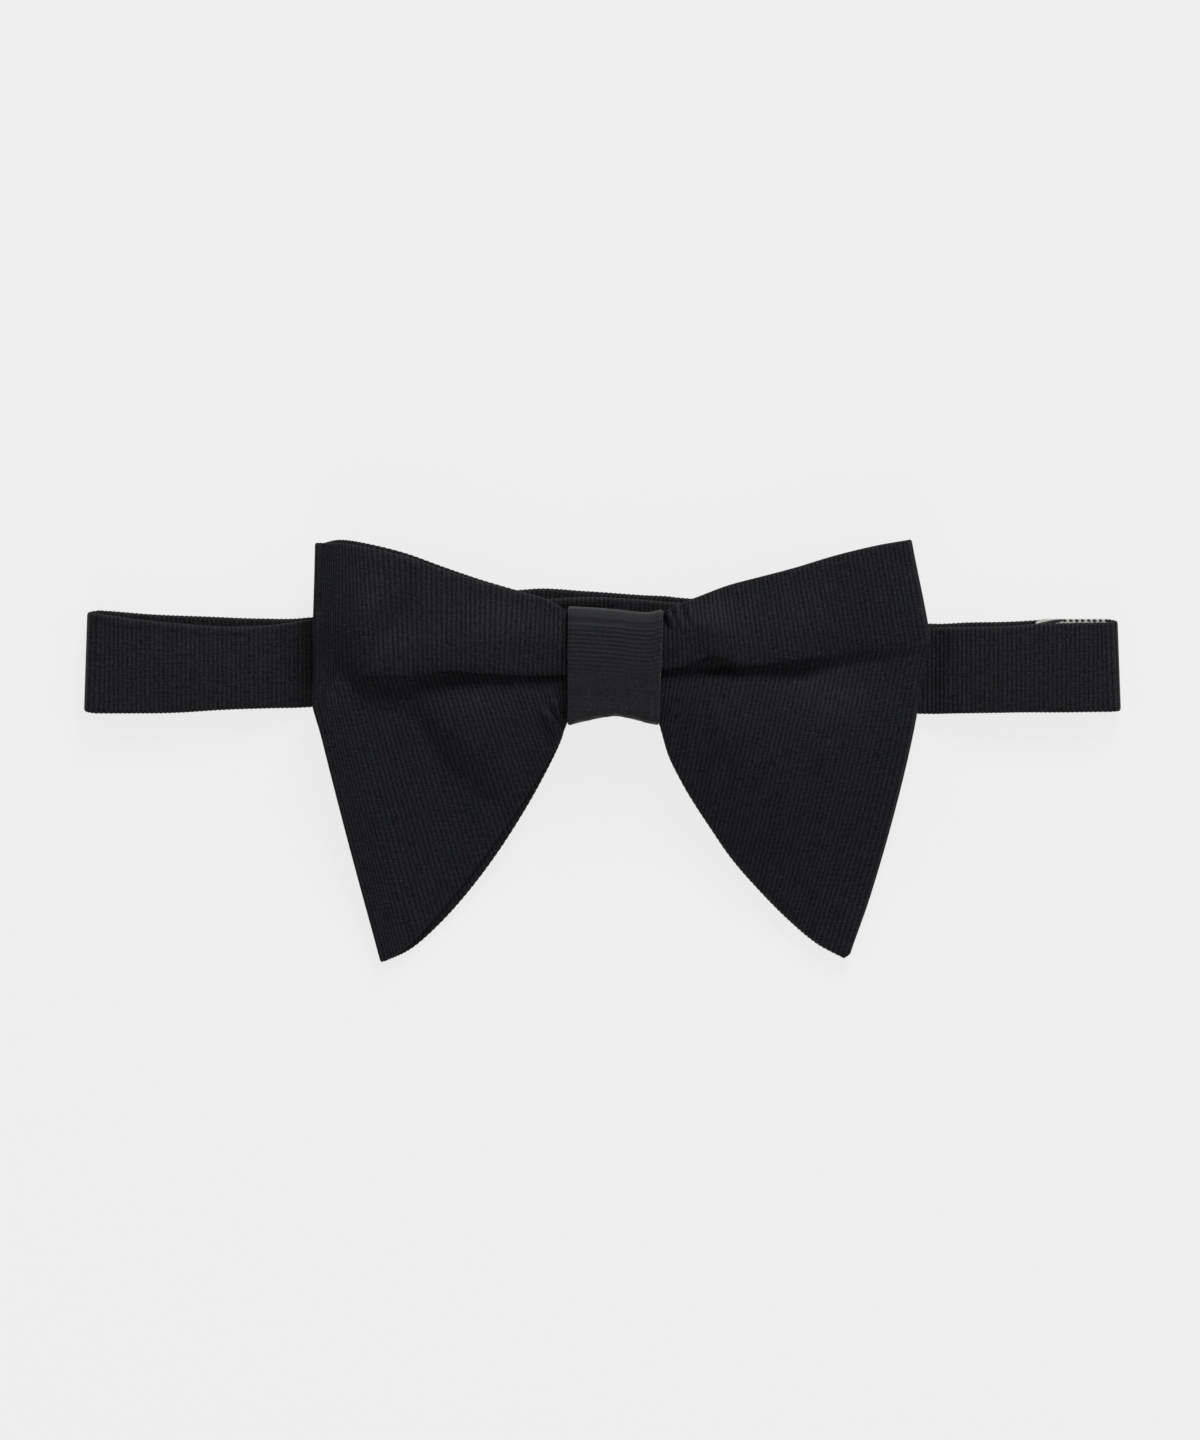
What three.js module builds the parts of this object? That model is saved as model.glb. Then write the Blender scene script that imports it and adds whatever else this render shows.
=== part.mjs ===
// Butterfly bow tie lying flat with its front up, in millimetres.
// X runs to the right, Y up towards the top edge of the bow and Z towards the viewer.
// The origin is on the surface that the bow tie lies on, under the middle of the knot.

import * as THREE from "three";

const BOW_CLOTH = 1.0;
const BAND_CLOTH = 1.2;
const KNOT_CLOTH = 1.0;
const LABEL_CLOTH = 0.6;
const GAP = 0.3;

// Neck band: a flattened loop of one strip.
const BAND_FOLD_RADIUS = 1.7;
const BAND_LEFT_END = -103.2;
const BAND_RIGHT_END = 98.3;
const BACK_RUN_HEIGHT = BAND_CLOTH / 2;
const FRONT_RUN_HEIGHT = 4.9;
const BAND_CELLS = 3;
const BAND_STEP = 7.5;
const BAND_TURN_STEPS = 8;
const FOLD_SLANT = 0.6;

// Clasp: a plain plate with two slots, hidden behind the right wing.
const CLASP_THICKNESS = 1.0;
const CLASP_WIDTH = 23;
const CLASP_X = 33;
const CLASP_Y = 2;
const CLASP_END_BAR = 2;
const CLASP_SLOT = 2.2;
const CLASP_MIDDLE_BAR = 5;
const CLASP_SLOT_LENGTH = 20.2;
const CLASP_CORNER = 1.5;
const CLASP_SLOT_CORNER = 0.6;
const CLASP_HEIGHT = BAND_CLOTH + GAP;

// The band's ends: each one goes up through a slot, turns over the clasp's outer bar and lies
// back on the band.
const BAR_WRAP_RADIUS = CLASP_THICKNESS / 2 + GAP + BAND_CLOTH / 2;
const BAR_OFFSET = (CLASP_MIDDLE_BAR + CLASP_SLOT) / 2 + BAR_WRAP_RADIUS;
const BAR_CLEARANCE = 5;
const BAND_TAIL = 12;
const TAIL_HEIGHT = BACK_RUN_HEIGHT + BAND_CLOTH + GAP;
const TAIL_PLACES = [1, 0.6, 0.35, 0.15];
const TAIL_RISES = [0.3, 0.9];

// Knot: a loop round the pinched middle of the bow.
const KNOT_BACK_HEIGHT = FRONT_RUN_HEIGHT + BAND_CLOTH / 2 + GAP + KNOT_CLOTH / 2;
const KNOT_TOP_CORNER = 2.4;
const KNOT_BOTTOM_CORNER = 2.0;
const KNOT_BACK_CORNER = 1.2;
const KNOT_STATIONS = 8;
const KNOT_CORNER_STEPS = 5;
const KNOT_FACE_PLACES = [0.2, 0.35, 0.5, 0.65, 0.8];
const KNOT_BACK_PLACES = [0.75, 0.5, 0.25];

// Bow: its back ply rides over the band, and the tips of the wings reach down to the surface.
const BOW_CLEARANCE = 0.4;
const TIP_CLEARANCE = 0.05;
const BOW_OVER_BAND = FRONT_RUN_HEIGHT + BAND_CLOTH / 2 + BOW_CLEARANCE + BOW_CLOTH / 2;
const BOW_IN_KNOT = KNOT_BACK_HEIGHT + KNOT_CLOTH / 2 + GAP + BOW_CLOTH / 2;
const BOW_TIP_HEIGHT = BOW_CLOTH / 2 + TIP_CLEARANCE;
const BOW_TIP_Y = -57;
const BAND_TOP_Y = 10.5;
const BAND_BOTTOM_Y = -10;
const PINCH_ENDS = [10, 18];
const TOP_CORNER_Y = 26;
const TOP_CORNER_DROOP = 2.2;
const WING_START = 9.6;
const WING_REACH = 57.3;
const BACK_SEAM_GAP = 1.0;
const EXTRA_LINES = 4;
const FOLD_TURNS = [1, 2, 3, 4, 5].map((k) => (k * Math.PI) / 6);

// Pleat: a knife pleat that is fully folded at the knot and opens out before the outer folds.
const PLEAT_DEPTH = 5.2;
const PLEAT_END_DEPTH = 0.5;
const PLEAT_OPENS_LEFT = [0.7, 0.95];
const PLEAT_OPENS_RIGHT = [0.42, 0.8];
const PLEAT_FADES_BY = 0.9;
const LAYER_SPACING = BOW_CLOTH + GAP;
const PLEAT_ARC_STEPS = 3;
const PLEAT_MARGIN = 1.2;
const MOST_COVERED = 0.75;
const OPEN_ARC = 1.5;
const UPPER_CELLS = 6;
const LOWER_CELLS = 9;

function table(columns, ...rows) {
  return rows.map((row) => Object.fromEntries(columns.map((name, i) => [name, row[i]])));
}

// A row for each rib line across the bow, from the left outer fold to the right one: its top
// end, the lip of the pleat and its bottom end, how far its lower part bulges outwards, how far
// the back ply rises above the front ply's top edge and how much shorter the front ply is.
const BOW_LINES = table(
  ["topX", "topY", "lipX", "lipY", "bottomX", "bottomY", "bulge", "backRise", "frontShort"],
  [-58.5, 23.5, -59.2, -8.0, -45.7, -58.0, 0.2, 0.0, 0.0],
  [-53.6, 23.6, -53.5, -1.6, -39.5, -55.2, 0.2, 0.7, 1.2],
  [-48.9, 23.0, -47.0, -2.4, -33.6, -49.9, 0.1, 0.8, 2.2],
  [-41.1, 21.2, -40.0, -2.1, -27.9, -43.4, 0.0, 0.7, 2.5],
  [-33.3, 18.5, -33.0, -0.9, -22.3, -35.8, 0.0, 0.6, 2.4],
  [-26.3, 16.3, -26.0, -1.3, -17.0, -27.4, 0.0, 0.4, 1.8],
  [-18.9, 14.3, -19.5, -1.7, -13.0, -20.1, 0.0, 0.2, 1.0],
  [-13.6, 12.9, -14.0, -1.9, -10.5, -14.8, 0.0, 0.0, 0.4],
  [-9.7, 9.5, -9.7, -2.1, -9.6, -9.7, 0.0, 0.0, 0.0],
  [0.0, 8.8, 0.0, -1.7, 0.0, -8.3, 0.0, 0.0, 0.0],
  [10.0, 8.7, 10.0, -1.1, 9.0, -9.7, 0.0, 0.0, 0.0],
  [13.3, 12.0, 14.0, -0.3, 10.4, -17.8, 0.0, 0.0, 0.1],
  [17.8, 13.9, 18.9, 1.2, 13.7, -24.2, 0.0, 0.0, 0.2],
  [23.0, 15.8, 24.8, 0.5, 18.1, -31.2, 0.0, 0.0, 0.3],
  [28.8, 17.3, 31.0, 0.4, 22.5, -37.6, 0.1, 0.0, 0.3],
  [35.2, 19.0, 38.0, 1.8, 27.6, -43.5, 0.3, 0.0, 0.3],
  [42.8, 21.1, 46.0, 2.6, 33.4, -49.4, 0.6, 0.0, 0.3],
  [50.6, 22.9, 54.0, 3.4, 39.2, -54.3, 0.9, 0.0, 0.2],
  [57.9, 24.1, 61.6, 3.9, 45.8, -56.5, 1.2, 0.0, 0.0]
);

// How far the front ply stands off the back ply, from the knot (0) to the outer fold (1): at the
// top edge, under the pleat and at the bottom edge, and how much the lower panel crowns between.
const BOW_LOFT = table(
  ["out", "top", "pleat", "bottom", "crown"],
  [0.0, 1.35, 1.35, 1.35, 0.0],
  [0.2, 1.6, 1.8, 1.6, 1.5],
  [0.4, 1.8, 2.1, 1.8, 2.3],
  [0.6, 2.1, 2.1, 1.9, 2.4],
  [0.8, 2.5, 2.0, 1.9, 1.8],
  [1.0, 3.0, 3.0, 1.8, 0.0]
);

// The slack hollow that runs down from the pleat across the left wing.
const HOLLOW = table(
  ["x", "y", "depth", "spread"],
  [-40.5, -6.0, 1.4, 2.6],
  [-36.5, -10.0, 1.9, 3.0],
  [-32.5, -14.5, 2.2, 3.2],
  [-29.5, -19.0, 1.8, 3.4],
  [-27.0, -24.0, 1.2, 3.6]
);

// Edges of the band's two runs, from left to right.
const BACK_RUN = table(
  ["x", "top", "bottom"],
  [-101.0, 10.3, -8.4],
  [-90.0, 9.5, -8.6],
  [-80.0, 9.1, -8.4],
  [-69.0, 8.7, -8.0],
  [-60.0, 8.9, -7.8],
  [-40.0, 11.6, -6.0],
  [-17.0, 14.8, -3.2],
  [-5.0, 14.4, -3.7],
  [5.0, 13.7, -4.3],
  [12.0, 13.2, -4.9],
  [33.0, 11.0, -7.0],
  [50.0, 9.0, -9.0],
  [62.0, 8.1, -9.5],
  [69.0, 8.5, -9.4],
  [77.0, 8.8, -9.3],
  [87.0, 9.0, -9.1],
  [96.0, 9.0, -8.9]
);
const FRONT_RUN = table(
  ["x", "top", "bottom", "height", "crown"],
  [-101.0, 9.7, -9.1, 4.0, 0.0],
  [-94.0, 8.7, -9.2, 4.0, 0.2],
  [-86.0, 7.9, -9.1, 4.1, 0.6],
  [-76.0, 7.4, -8.6, 4.2, 0.8],
  [-68.0, 7.6, -8.2, 4.4, 0.7],
  [-60.0, 8.7, -8.0, 4.7, 0.2],
  [-48.0, 9.4, -7.4, 4.9, 0.0],
  [-25.0, 11.4, -6.0, 4.9, 0.0],
  [-7.0, 13.2, -4.6, 4.9, 0.0],
  [10.0, 12.3, -5.4, 4.9, 0.0],
  [30.0, 10.4, -7.4, 4.9, 0.0],
  [50.0, 8.6, -9.2, 4.9, 0.0],
  [62.0, 7.4, -9.6, 4.7, 0.2],
  [74.0, 7.5, -9.4, 4.4, 0.3],
  [81.0, 7.7, -9.3, 4.2, 0.2],
  [87.0, 8.05, -9.3, 4.1, 0.2],
  [96.0, 8.4, -9.2, 4.0, 0.0]
);

// Edges of the knot, from left to right. Its bottom edge is pulled up in the middle.
const KNOT_LINES = table(
  ["topX", "topY", "bottomX", "bottomY"],
  [-9.1, 11.4, -9.2, -11.3],
  [-4.5, 11.1, -4.6, -10.45],
  [0.2, 10.9, 0.2, -9.9],
  [4.9, 10.6, 4.8, -10.65],
  [9.5, 10.6, 8.5, -11.4]
);

// Height of the knot's outer face from its bottom edge (0) to its top edge (1).
const KNOT_FACE = table(
  ["across", "height"],
  [0.0, 11.9],
  [0.2, 12.9],
  [0.4, 13.4],
  [0.6, 13.5],
  [0.8, 13.4],
  [1.0, 12.9]
);

// The label's left and right ends, and its bottom and top edges.
const LABEL = { x: [82, 96], y: [-1.5, 8.7] };

const clamp = THREE.MathUtils.clamp;
const lerp = THREE.MathUtils.lerp;
const smoothstep = THREE.MathUtils.smoothstep;

// The row at a place between rows, on a smooth curve through all of them.
function rowAt(rows, place) {
  const last = rows.length - 1;
  const i = clamp(Math.floor(place), 0, last - 1);
  const t = place - i;
  const near = (k) => rows[clamp(k, 0, last)];
  const row = {};
  for (const name of Object.keys(rows[0])) {
    const a = near(i - 1)[name];
    const b = near(i)[name];
    const c = near(i + 1)[name];
    const d = near(i + 2)[name];
    const cubic = 3 * (b - c) + d - a;
    row[name] = b + 0.5 * t * (c - a + t * (2 * a - 5 * b + 4 * c - d + t * cubic));
  }
  return row;
}

// The row where a column that only grows has this value.
function rowWhere(rows, column, value) {
  const last = rows.length - 1;
  let i = 0;
  while (i < last - 1 && rows[i + 1][column] < value) {
    i += 1;
  }
  const span = rows[i + 1][column] - rows[i][column];
  return rowAt(rows, i + clamp((value - rows[i][column]) / span, 0, 1));
}

// A closed solid of even thickness about a grid of points, whose rows may close into a ring.
function clothSolid(grid, thickness, ring = false) {
  const rows = grid.length;
  const columns = grid[0].length;
  const bisect = (before, here, after) => {
    const tangent = new THREE.Vector3();
    if (before) {
      tangent.add(here.clone().sub(before).normalize());
    }
    if (after) {
      tangent.add(after.clone().sub(here).normalize());
    }
    return tangent.normalize();
  };
  const column = (j) => (ring ? (j + columns) % columns : j);
  const points = [[], []];
  for (let i = 0; i < rows; i += 1) {
    for (let j = 0; j < columns; j += 1) {
      const here = grid[i][j];
      const along = bisect(grid[i - 1]?.[j], here, grid[i + 1]?.[j]);
      const across = bisect(grid[i][column(j - 1)], here, grid[i][column(j + 1)]);
      const normal = along.cross(across).normalize();
      points[0].push(here.clone().addScaledVector(normal, thickness / 2));
      points[1].push(here.clone().addScaledVector(normal, -thickness / 2));
    }
  }
  const count = rows * columns;
  const index = [];
  const quad = (a, b, c, d) => index.push(a, b, c, a, c, d);
  const at = (side, i, j) => side * count + i * columns + column(j);
  const cells = ring ? columns : columns - 1;
  for (let i = 0; i < rows - 1; i += 1) {
    for (let j = 0; j < cells; j += 1) {
      quad(at(0, i, j), at(0, i + 1, j), at(0, i + 1, j + 1), at(0, i, j + 1));
      quad(at(1, i, j), at(1, i, j + 1), at(1, i + 1, j + 1), at(1, i + 1, j));
    }
  }
  for (let j = 0; j < cells; j += 1) {
    const end = rows - 1;
    quad(at(0, 0, j), at(0, 0, j + 1), at(1, 0, j + 1), at(1, 0, j));
    quad(at(0, end, j), at(1, end, j), at(1, end, j + 1), at(0, end, j + 1));
  }
  for (let i = 0; i < rows - 1 && !ring; i += 1) {
    const end = columns - 1;
    quad(at(0, i, 0), at(1, i, 0), at(1, i + 1, 0), at(0, i + 1, 0));
    quad(at(0, i, end), at(0, i + 1, end), at(1, i + 1, end), at(1, i, end));
  }
  const geometry = new THREE.BufferGeometry();
  geometry.setFromPoints([...points[0], ...points[1]]);
  geometry.setIndex(index);
  geometry.computeVertexNormals();
  return geometry;
}

// Height of the middle of the bow's back ply.
function backPlyHeight(x, y) {
  const pinched = 1 - smoothstep(Math.abs(x), ...PINCH_ENDS);
  const high = lerp(BOW_OVER_BAND, BOW_IN_KNOT, pinched);
  if (y > BAND_TOP_Y) {
    return high - TOP_CORNER_DROOP * smoothstep(y, BAND_TOP_Y, TOP_CORNER_Y);
  }
  if (y < BAND_BOTTOM_Y) {
    const left = clamp((y - BOW_TIP_Y) / (BAND_BOTTOM_Y - BOW_TIP_Y), 0, 1);
    return lerp(BOW_TIP_HEIGHT, high, (left + smoothstep(left, 0, 1)) / 2);
  }
  return high;
}

// How deep the hollow in the left wing is at a place.
function hollowDepth(x, y) {
  let depth = 0;
  for (const dent of HOLLOW) {
    const away = ((x - dent.x) ** 2 + (y - dent.y) ** 2) / dent.spread ** 2;
    depth = Math.max(depth, dent.depth * Math.exp(-away / 2));
  }
  return depth;
}

// The walk of one rib line over the pleat, as steps along the line and up. Its first bend is the
// lip of the pleat.
function pleatSteps(turn, depth) {
  const arc = lerp(OPEN_ARC, (LAYER_SPACING * Math.PI) / 2, turn / Math.PI);
  const headings = [];
  for (let k = 0; k < PLEAT_ARC_STEPS; k += 1) {
    headings.push([(turn * (k + 0.5)) / PLEAT_ARC_STEPS, arc / PLEAT_ARC_STEPS]);
  }
  const steps = [[0, 0]];
  for (const [angle, length] of [...headings, [turn, depth], ...headings.toReversed()]) {
    const [reach, rise] = steps.at(-1);
    steps.push([reach + length * Math.cos(angle), rise - length * Math.sin(angle)]);
  }
  return steps;
}

// The points of one rib line, from its top end over the pleat to its bottom end. With folded
// false it is the same line drawn flat.
function ribLine(row, folded) {
  const out = clamp((Math.abs(row.lipX) - WING_START) / (WING_REACH - WING_START), 0, 1);
  const opened = smoothstep(out, ...(row.lipX < 0 ? PLEAT_OPENS_LEFT : PLEAT_OPENS_RIGHT));
  const turn = folded ? Math.PI * (1 - opened) : 0;
  const depth = lerp(PLEAT_DEPTH, PLEAT_END_DEPTH, folded ? smoothstep(out, 0, PLEAT_FADES_BY) : 1);
  const steps = pleatSteps(turn, depth);
  const bend = (steps[1][0] + steps[2][0]) / 2;
  const reach = bend + (BOW_CLOTH / 2) * (turn / Math.PI);
  const drop = -steps.at(-1)[1];
  const loft = rowWhere(BOW_LOFT, "out", out);

  const lip = new THREE.Vector2(row.lipX, row.lipY);
  const down = new THREE.Vector2(row.bottomX, row.bottomY).sub(lip).normalize();
  const rise = folded ? 0 : row.backRise;
  const short = folded ? row.frontShort : 0;
  const top = new THREE.Vector2(row.topX, row.topY + rise);
  const bottom = new THREE.Vector2(row.bottomX, row.bottomY).addScaledVector(down, -short);
  const over = lip.clone().sub(top).normalize().lerp(down, turn / Math.PI).normalize();
  const onLine = (along) => lip.clone().addScaledVector(along < 0 ? over : down, along);
  const start = onLine(-reach);
  const end = onLine(steps.at(-1)[0] - reach);
  const point = (place, height) => {
    const lift = folded ? height : 0;
    return new THREE.Vector3(place.x, place.y, backPlyHeight(place.x, place.y) + lift);
  };
  const cover = turn > Math.PI / 2 ? depth + PLEAT_MARGIN : 0;
  const lipLift = loft.pleat + drop;
  const side = new THREE.Vector2(-down.y, down.x).multiplyScalar(Math.sign(row.lipX));
  const points = [];
  for (let k = 0; k < UPPER_CELLS; k += 1) {
    const place = top.clone().lerp(start, k / UPPER_CELLS);
    const flat = Math.min(cover / top.distanceTo(start), MOST_COVERED);
    const fall = smoothstep(1 - k / UPPER_CELLS, flat, 1);
    points.push(point(place, lerp(lipLift, loft.top, fall)));
  }
  const lipHeight = point(start, lipLift).z;
  for (const [along, up] of steps) {
    const place = onLine(along - reach);
    points.push(folded ? new THREE.Vector3(place.x, place.y, lipHeight + up) : point(place, 0));
  }
  for (let k = 1; k <= LOWER_CELLS; k += 1) {
    const place = end.clone().lerp(bottom, k / LOWER_CELLS);
    place.addScaledVector(side, row.bulge * Math.sin((Math.PI * k) / LOWER_CELLS));
    const covered = Math.min(cover / end.distanceTo(bottom), MOST_COVERED);
    const open = clamp((k / LOWER_CELLS - covered) / (1 - covered), 0, 1);
    const crown = loft.crown * Math.sin(Math.PI * open);
    const lift = lerp(loft.pleat, loft.bottom, open) + crown - hollowDepth(place.x, place.y);
    points.push(point(place, Math.max(lift, loft.bottom)));
  }
  return points;
}

// A row of the outer fold, moved in from its outline to where the fold starts to turn.
function foldStart(row) {
  const side = Math.sign(row.lipX);
  const top = new THREE.Vector2(row.topX, row.topY);
  const lip = new THREE.Vector2(row.lipX, row.lipY);
  const bottom = new THREE.Vector2(row.bottomX, row.bottomY);
  const outward = (from, to) => {
    const along = to.clone().sub(from).normalize();
    return new THREE.Vector2(-along.y * side, along.x * side);
  };
  const upper = outward(top, lip);
  const lower = outward(lip, bottom);
  const between = upper.clone().add(lower).normalize();
  const loft = BOW_LOFT.at(-1);
  const inset = (BOW_CLOTH + loft.pleat) / 2;
  const tipInset = (BOW_CLOTH + loft.bottom) / 2;
  return {
    row: {
      ...row,
      topX: row.topX - upper.x * inset,
      topY: row.topY - upper.y * inset,
      lipX: row.lipX - between.x * inset,
      lipY: row.lipY - between.y * inset,
      bottomX: row.bottomX - lower.x * tipInset,
      bottomY: row.bottomY - lower.y * tipInset
    },
    upper,
    lower
  };
}

// The lines that carry the cloth round an outer fold, from the front ply to the back ply.
function foldLines(fold) {
  const front = ribLine(fold.row, true);
  const back = ribLine({ ...fold.row, backRise: 0 }, false);
  return FOLD_TURNS.map((turn) =>
    front.map((point, j) => {
      const mean = smoothstep(j, UPPER_CELLS, front.length - LOWER_CELLS);
      const outward = fold.upper.clone().lerp(fold.lower, mean).normalize();
      const radius = (point.z - back[j].z) / 2;
      const out = radius * Math.sin(turn);
      const height = (point.z + back[j].z) / 2 + radius * Math.cos(turn);
      const share = turn / Math.PI;
      const x = lerp(point.x, back[j].x, share) + outward.x * out;
      const y = lerp(point.y, back[j].y, share) + outward.y * out;
      return new THREE.Vector3(x, y, height);
    })
  );
}

// The bow: one strip that starts at the centre back, goes round the left fold, across the front
// and round the right fold, and ends at the centre back again.
function makeBow() {
  const left = foldStart(BOW_LINES[0]);
  const right = foldStart(BOW_LINES.at(-1));
  const lines = [left.row, ...BOW_LINES.slice(1, -1), right.row];
  const end = lines.length - 1;
  const extra = Array.from({ length: EXTRA_LINES }, (_, k) => k + 0.5);
  const between = [...extra, ...extra.map((place) => end - place)];
  const places = [...lines.keys(), ...between].sort((a, b) => a - b);
  const front = places.map((place) => ribLine(rowAt(lines, place), true));

  const middle = end / 2;
  const seam = (side) => {
    const row = rowAt(lines, middle);
    const shift = (side * BACK_SEAM_GAP) / 2 - row.lipX;
    return { ...row, topX: row.topX + shift, lipX: row.lipX + shift, bottomX: row.bottomX + shift };
  };
  const leftRows = places.filter((place) => place < middle).map((place) => rowAt(lines, place));
  const rightRows = places.filter((place) => place > middle).map((place) => rowAt(lines, place));
  const backLeft = [...leftRows, seam(-1)].reverse().map((row) => ribLine(row, false));
  const backRight = [seam(1), ...rightRows].reverse().map((row) => ribLine(row, false));
  const grid = [
    ...backLeft,
    ...foldLines(left).reverse(),
    ...front,
    ...foldLines(right),
    ...backRight
  ];
  return clothSolid(grid, BOW_CLOTH);
}

// One section of the knot's loop, counter-clockwise from the bottom edge of its face.
function knotSection(row) {
  const half = KNOT_CLOTH / 2;
  const bottomY = row.bottomY + half;
  const topY = row.topY - half;
  const height = (across) => rowWhere(KNOT_FACE, "across", across).height - half;
  const corner = (y, z, from, radius) => {
    const points = [];
    for (let k = 0; k <= KNOT_CORNER_STEPS; k += 1) {
      const angle = from + (k / KNOT_CORNER_STEPS) * (Math.PI / 2);
      points.push([y + radius * Math.cos(angle), z + radius * Math.sin(angle)]);
    }
    return points;
  };
  const face = [];
  for (const across of KNOT_FACE_PLACES) {
    face.push([lerp(bottomY, topY, across), height(across)]);
  }
  const back = [];
  for (const across of KNOT_BACK_PLACES) {
    back.push([lerp(bottomY, topY, across), KNOT_BACK_HEIGHT]);
  }
  const backZ = KNOT_BACK_HEIGHT + KNOT_BACK_CORNER;
  const faceZ = height(0) - KNOT_BOTTOM_CORNER;
  const loop = [
    ...face,
    ...corner(topY - KNOT_TOP_CORNER, height(1) - KNOT_TOP_CORNER, 0, KNOT_TOP_CORNER).reverse(),
    ...corner(topY - KNOT_BACK_CORNER, backZ, -Math.PI / 2, KNOT_BACK_CORNER).reverse(),
    ...back,
    ...corner(bottomY + KNOT_BACK_CORNER, backZ, Math.PI, KNOT_BACK_CORNER).reverse(),
    ...corner(bottomY + KNOT_BOTTOM_CORNER, faceZ, Math.PI / 2, KNOT_BOTTOM_CORNER).reverse()
  ];
  return loop.map(([y, z]) => {
    const share = clamp((y - row.bottomY) / (row.topY - row.bottomY), 0, 1);
    return new THREE.Vector3(lerp(row.bottomX, row.topX, share), y, z);
  });
}

function makeKnot() {
  const sections = [];
  for (let i = 0; i <= KNOT_STATIONS; i += 1) {
    const row = rowAt(KNOT_LINES, (i / KNOT_STATIONS) * (KNOT_LINES.length - 1));
    sections.push(knotSection(row));
  }
  return clothSolid(sections, KNOT_CLOTH, true);
}

// One section across the band, from its top edge to its bottom edge.
function bandSection(x, top, bottom, height, crown = 0, slant = 0) {
  const points = [];
  for (let j = 0; j <= BAND_CELLS; j += 1) {
    const share = j / BAND_CELLS;
    const lift = crown * Math.sin(Math.PI * share);
    const place = x + slant * (0.5 - share);
    points.push(new THREE.Vector3(place, lerp(top, bottom, share), height + lift));
  }
  return points;
}

// Sections of a half turn about a line across the band. The turn goes from one height to the
// other on the side that it bulges to, between two pairs of edges.
function bandTurn(x, side, radius, middle, upwards, from, to, slant = 0) {
  const sections = [];
  for (let k = 0; k <= BAND_TURN_STEPS; k += 1) {
    const share = k / BAND_TURN_STEPS;
    const angle = (upwards ? -1 : 1) * (Math.PI / 2 - Math.PI * share);
    const place = x + side * radius * Math.cos(angle);
    const top = lerp(from.top, to.top, share);
    const bottom = lerp(from.bottom, to.bottom, share);
    sections.push(bandSection(place, top, bottom, middle + radius * Math.sin(angle), 0, slant));
  }
  return sections;
}

// The band: from its end over the clasp's left bar to the left fold, along the front run to the
// right fold, and back to its other end over the clasp's right bar.
function makeBand() {
  const barHeight = CLASP_HEIGHT + CLASP_THICKNESS / 2;
  const edges = (x) => rowWhere(BACK_RUN, "x", x);
  const tail = (bar, side) =>
    TAIL_PLACES.map((share) => {
      const x = bar + side * BAND_TAIL * share;
      const rise = smoothstep(1 - share, ...TAIL_RISES);
      const height = lerp(TAIL_HEIGHT, barHeight + BAR_WRAP_RADIUS, rise);
      return bandSection(x, edges(x).top, edges(x).bottom, height);
    });
  const wrap = (bar, side, upwards) =>
    bandTurn(bar, -side, BAR_WRAP_RADIUS, barHeight, upwards, edges(bar), edges(bar));
  const run = (from, to, section) => {
    const count = Math.ceil(Math.abs(to - from) / BAND_STEP);
    return Array.from({ length: count + 1 }, (_, k) => section(lerp(from, to, k / count)));
  };
  const backSection = (x) => bandSection(x, edges(x).top, edges(x).bottom, BACK_RUN_HEIGHT);
  const frontSection = (x) => {
    const row = rowWhere(FRONT_RUN, "x", x);
    return bandSection(x, row.top, row.bottom, row.height, row.crown);
  };
  const reach = BAND_FOLD_RADIUS + BAND_CLOTH / 2;
  const leftAxis = BAND_LEFT_END + reach;
  const rightAxis = BAND_RIGHT_END - reach;
  const foldMiddle = BACK_RUN_HEIGHT + BAND_FOLD_RADIUS;
  const leftFold = bandTurn(
    leftAxis, -1, BAND_FOLD_RADIUS, foldMiddle, true, BACK_RUN[0], FRONT_RUN[0], FOLD_SLANT
  );
  const rightFold = bandTurn(
    rightAxis, 1, BAND_FOLD_RADIUS, foldMiddle, false, FRONT_RUN.at(-1), BACK_RUN.at(-1), -FOLD_SLANT
  );
  const leftBar = CLASP_X - BAR_OFFSET;
  const rightBar = CLASP_X + BAR_OFFSET;
  const grid = [
    ...tail(leftBar, -1),
    ...wrap(leftBar, -1, false),
    ...run(leftBar - BAR_CLEARANCE, leftAxis + BAND_STEP, backSection),
    ...leftFold,
    ...run(leftAxis + BAND_STEP, rightAxis - BAND_STEP, frontSection),
    ...rightFold,
    ...run(rightAxis - BAND_STEP, rightBar + BAR_CLEARANCE, backSection),
    ...wrap(rightBar, 1, true),
    ...tail(rightBar, 1).reverse()
  ];
  return clothSolid(grid, BAND_CLOTH);
}

function roundedRectangle(path, left, bottom, right, top, corner) {
  path.moveTo(left + corner, bottom);
  path.lineTo(right - corner, bottom);
  path.absarc(right - corner, bottom + corner, corner, -Math.PI / 2, 0);
  path.lineTo(right, top - corner);
  path.absarc(right - corner, top - corner, corner, 0, Math.PI / 2);
  path.lineTo(left + corner, top);
  path.absarc(left + corner, top - corner, corner, Math.PI / 2, Math.PI);
  path.lineTo(left, bottom + corner);
  path.absarc(left + corner, bottom + corner, corner, Math.PI, 1.5 * Math.PI);
  path.closePath();
  return path;
}

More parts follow.
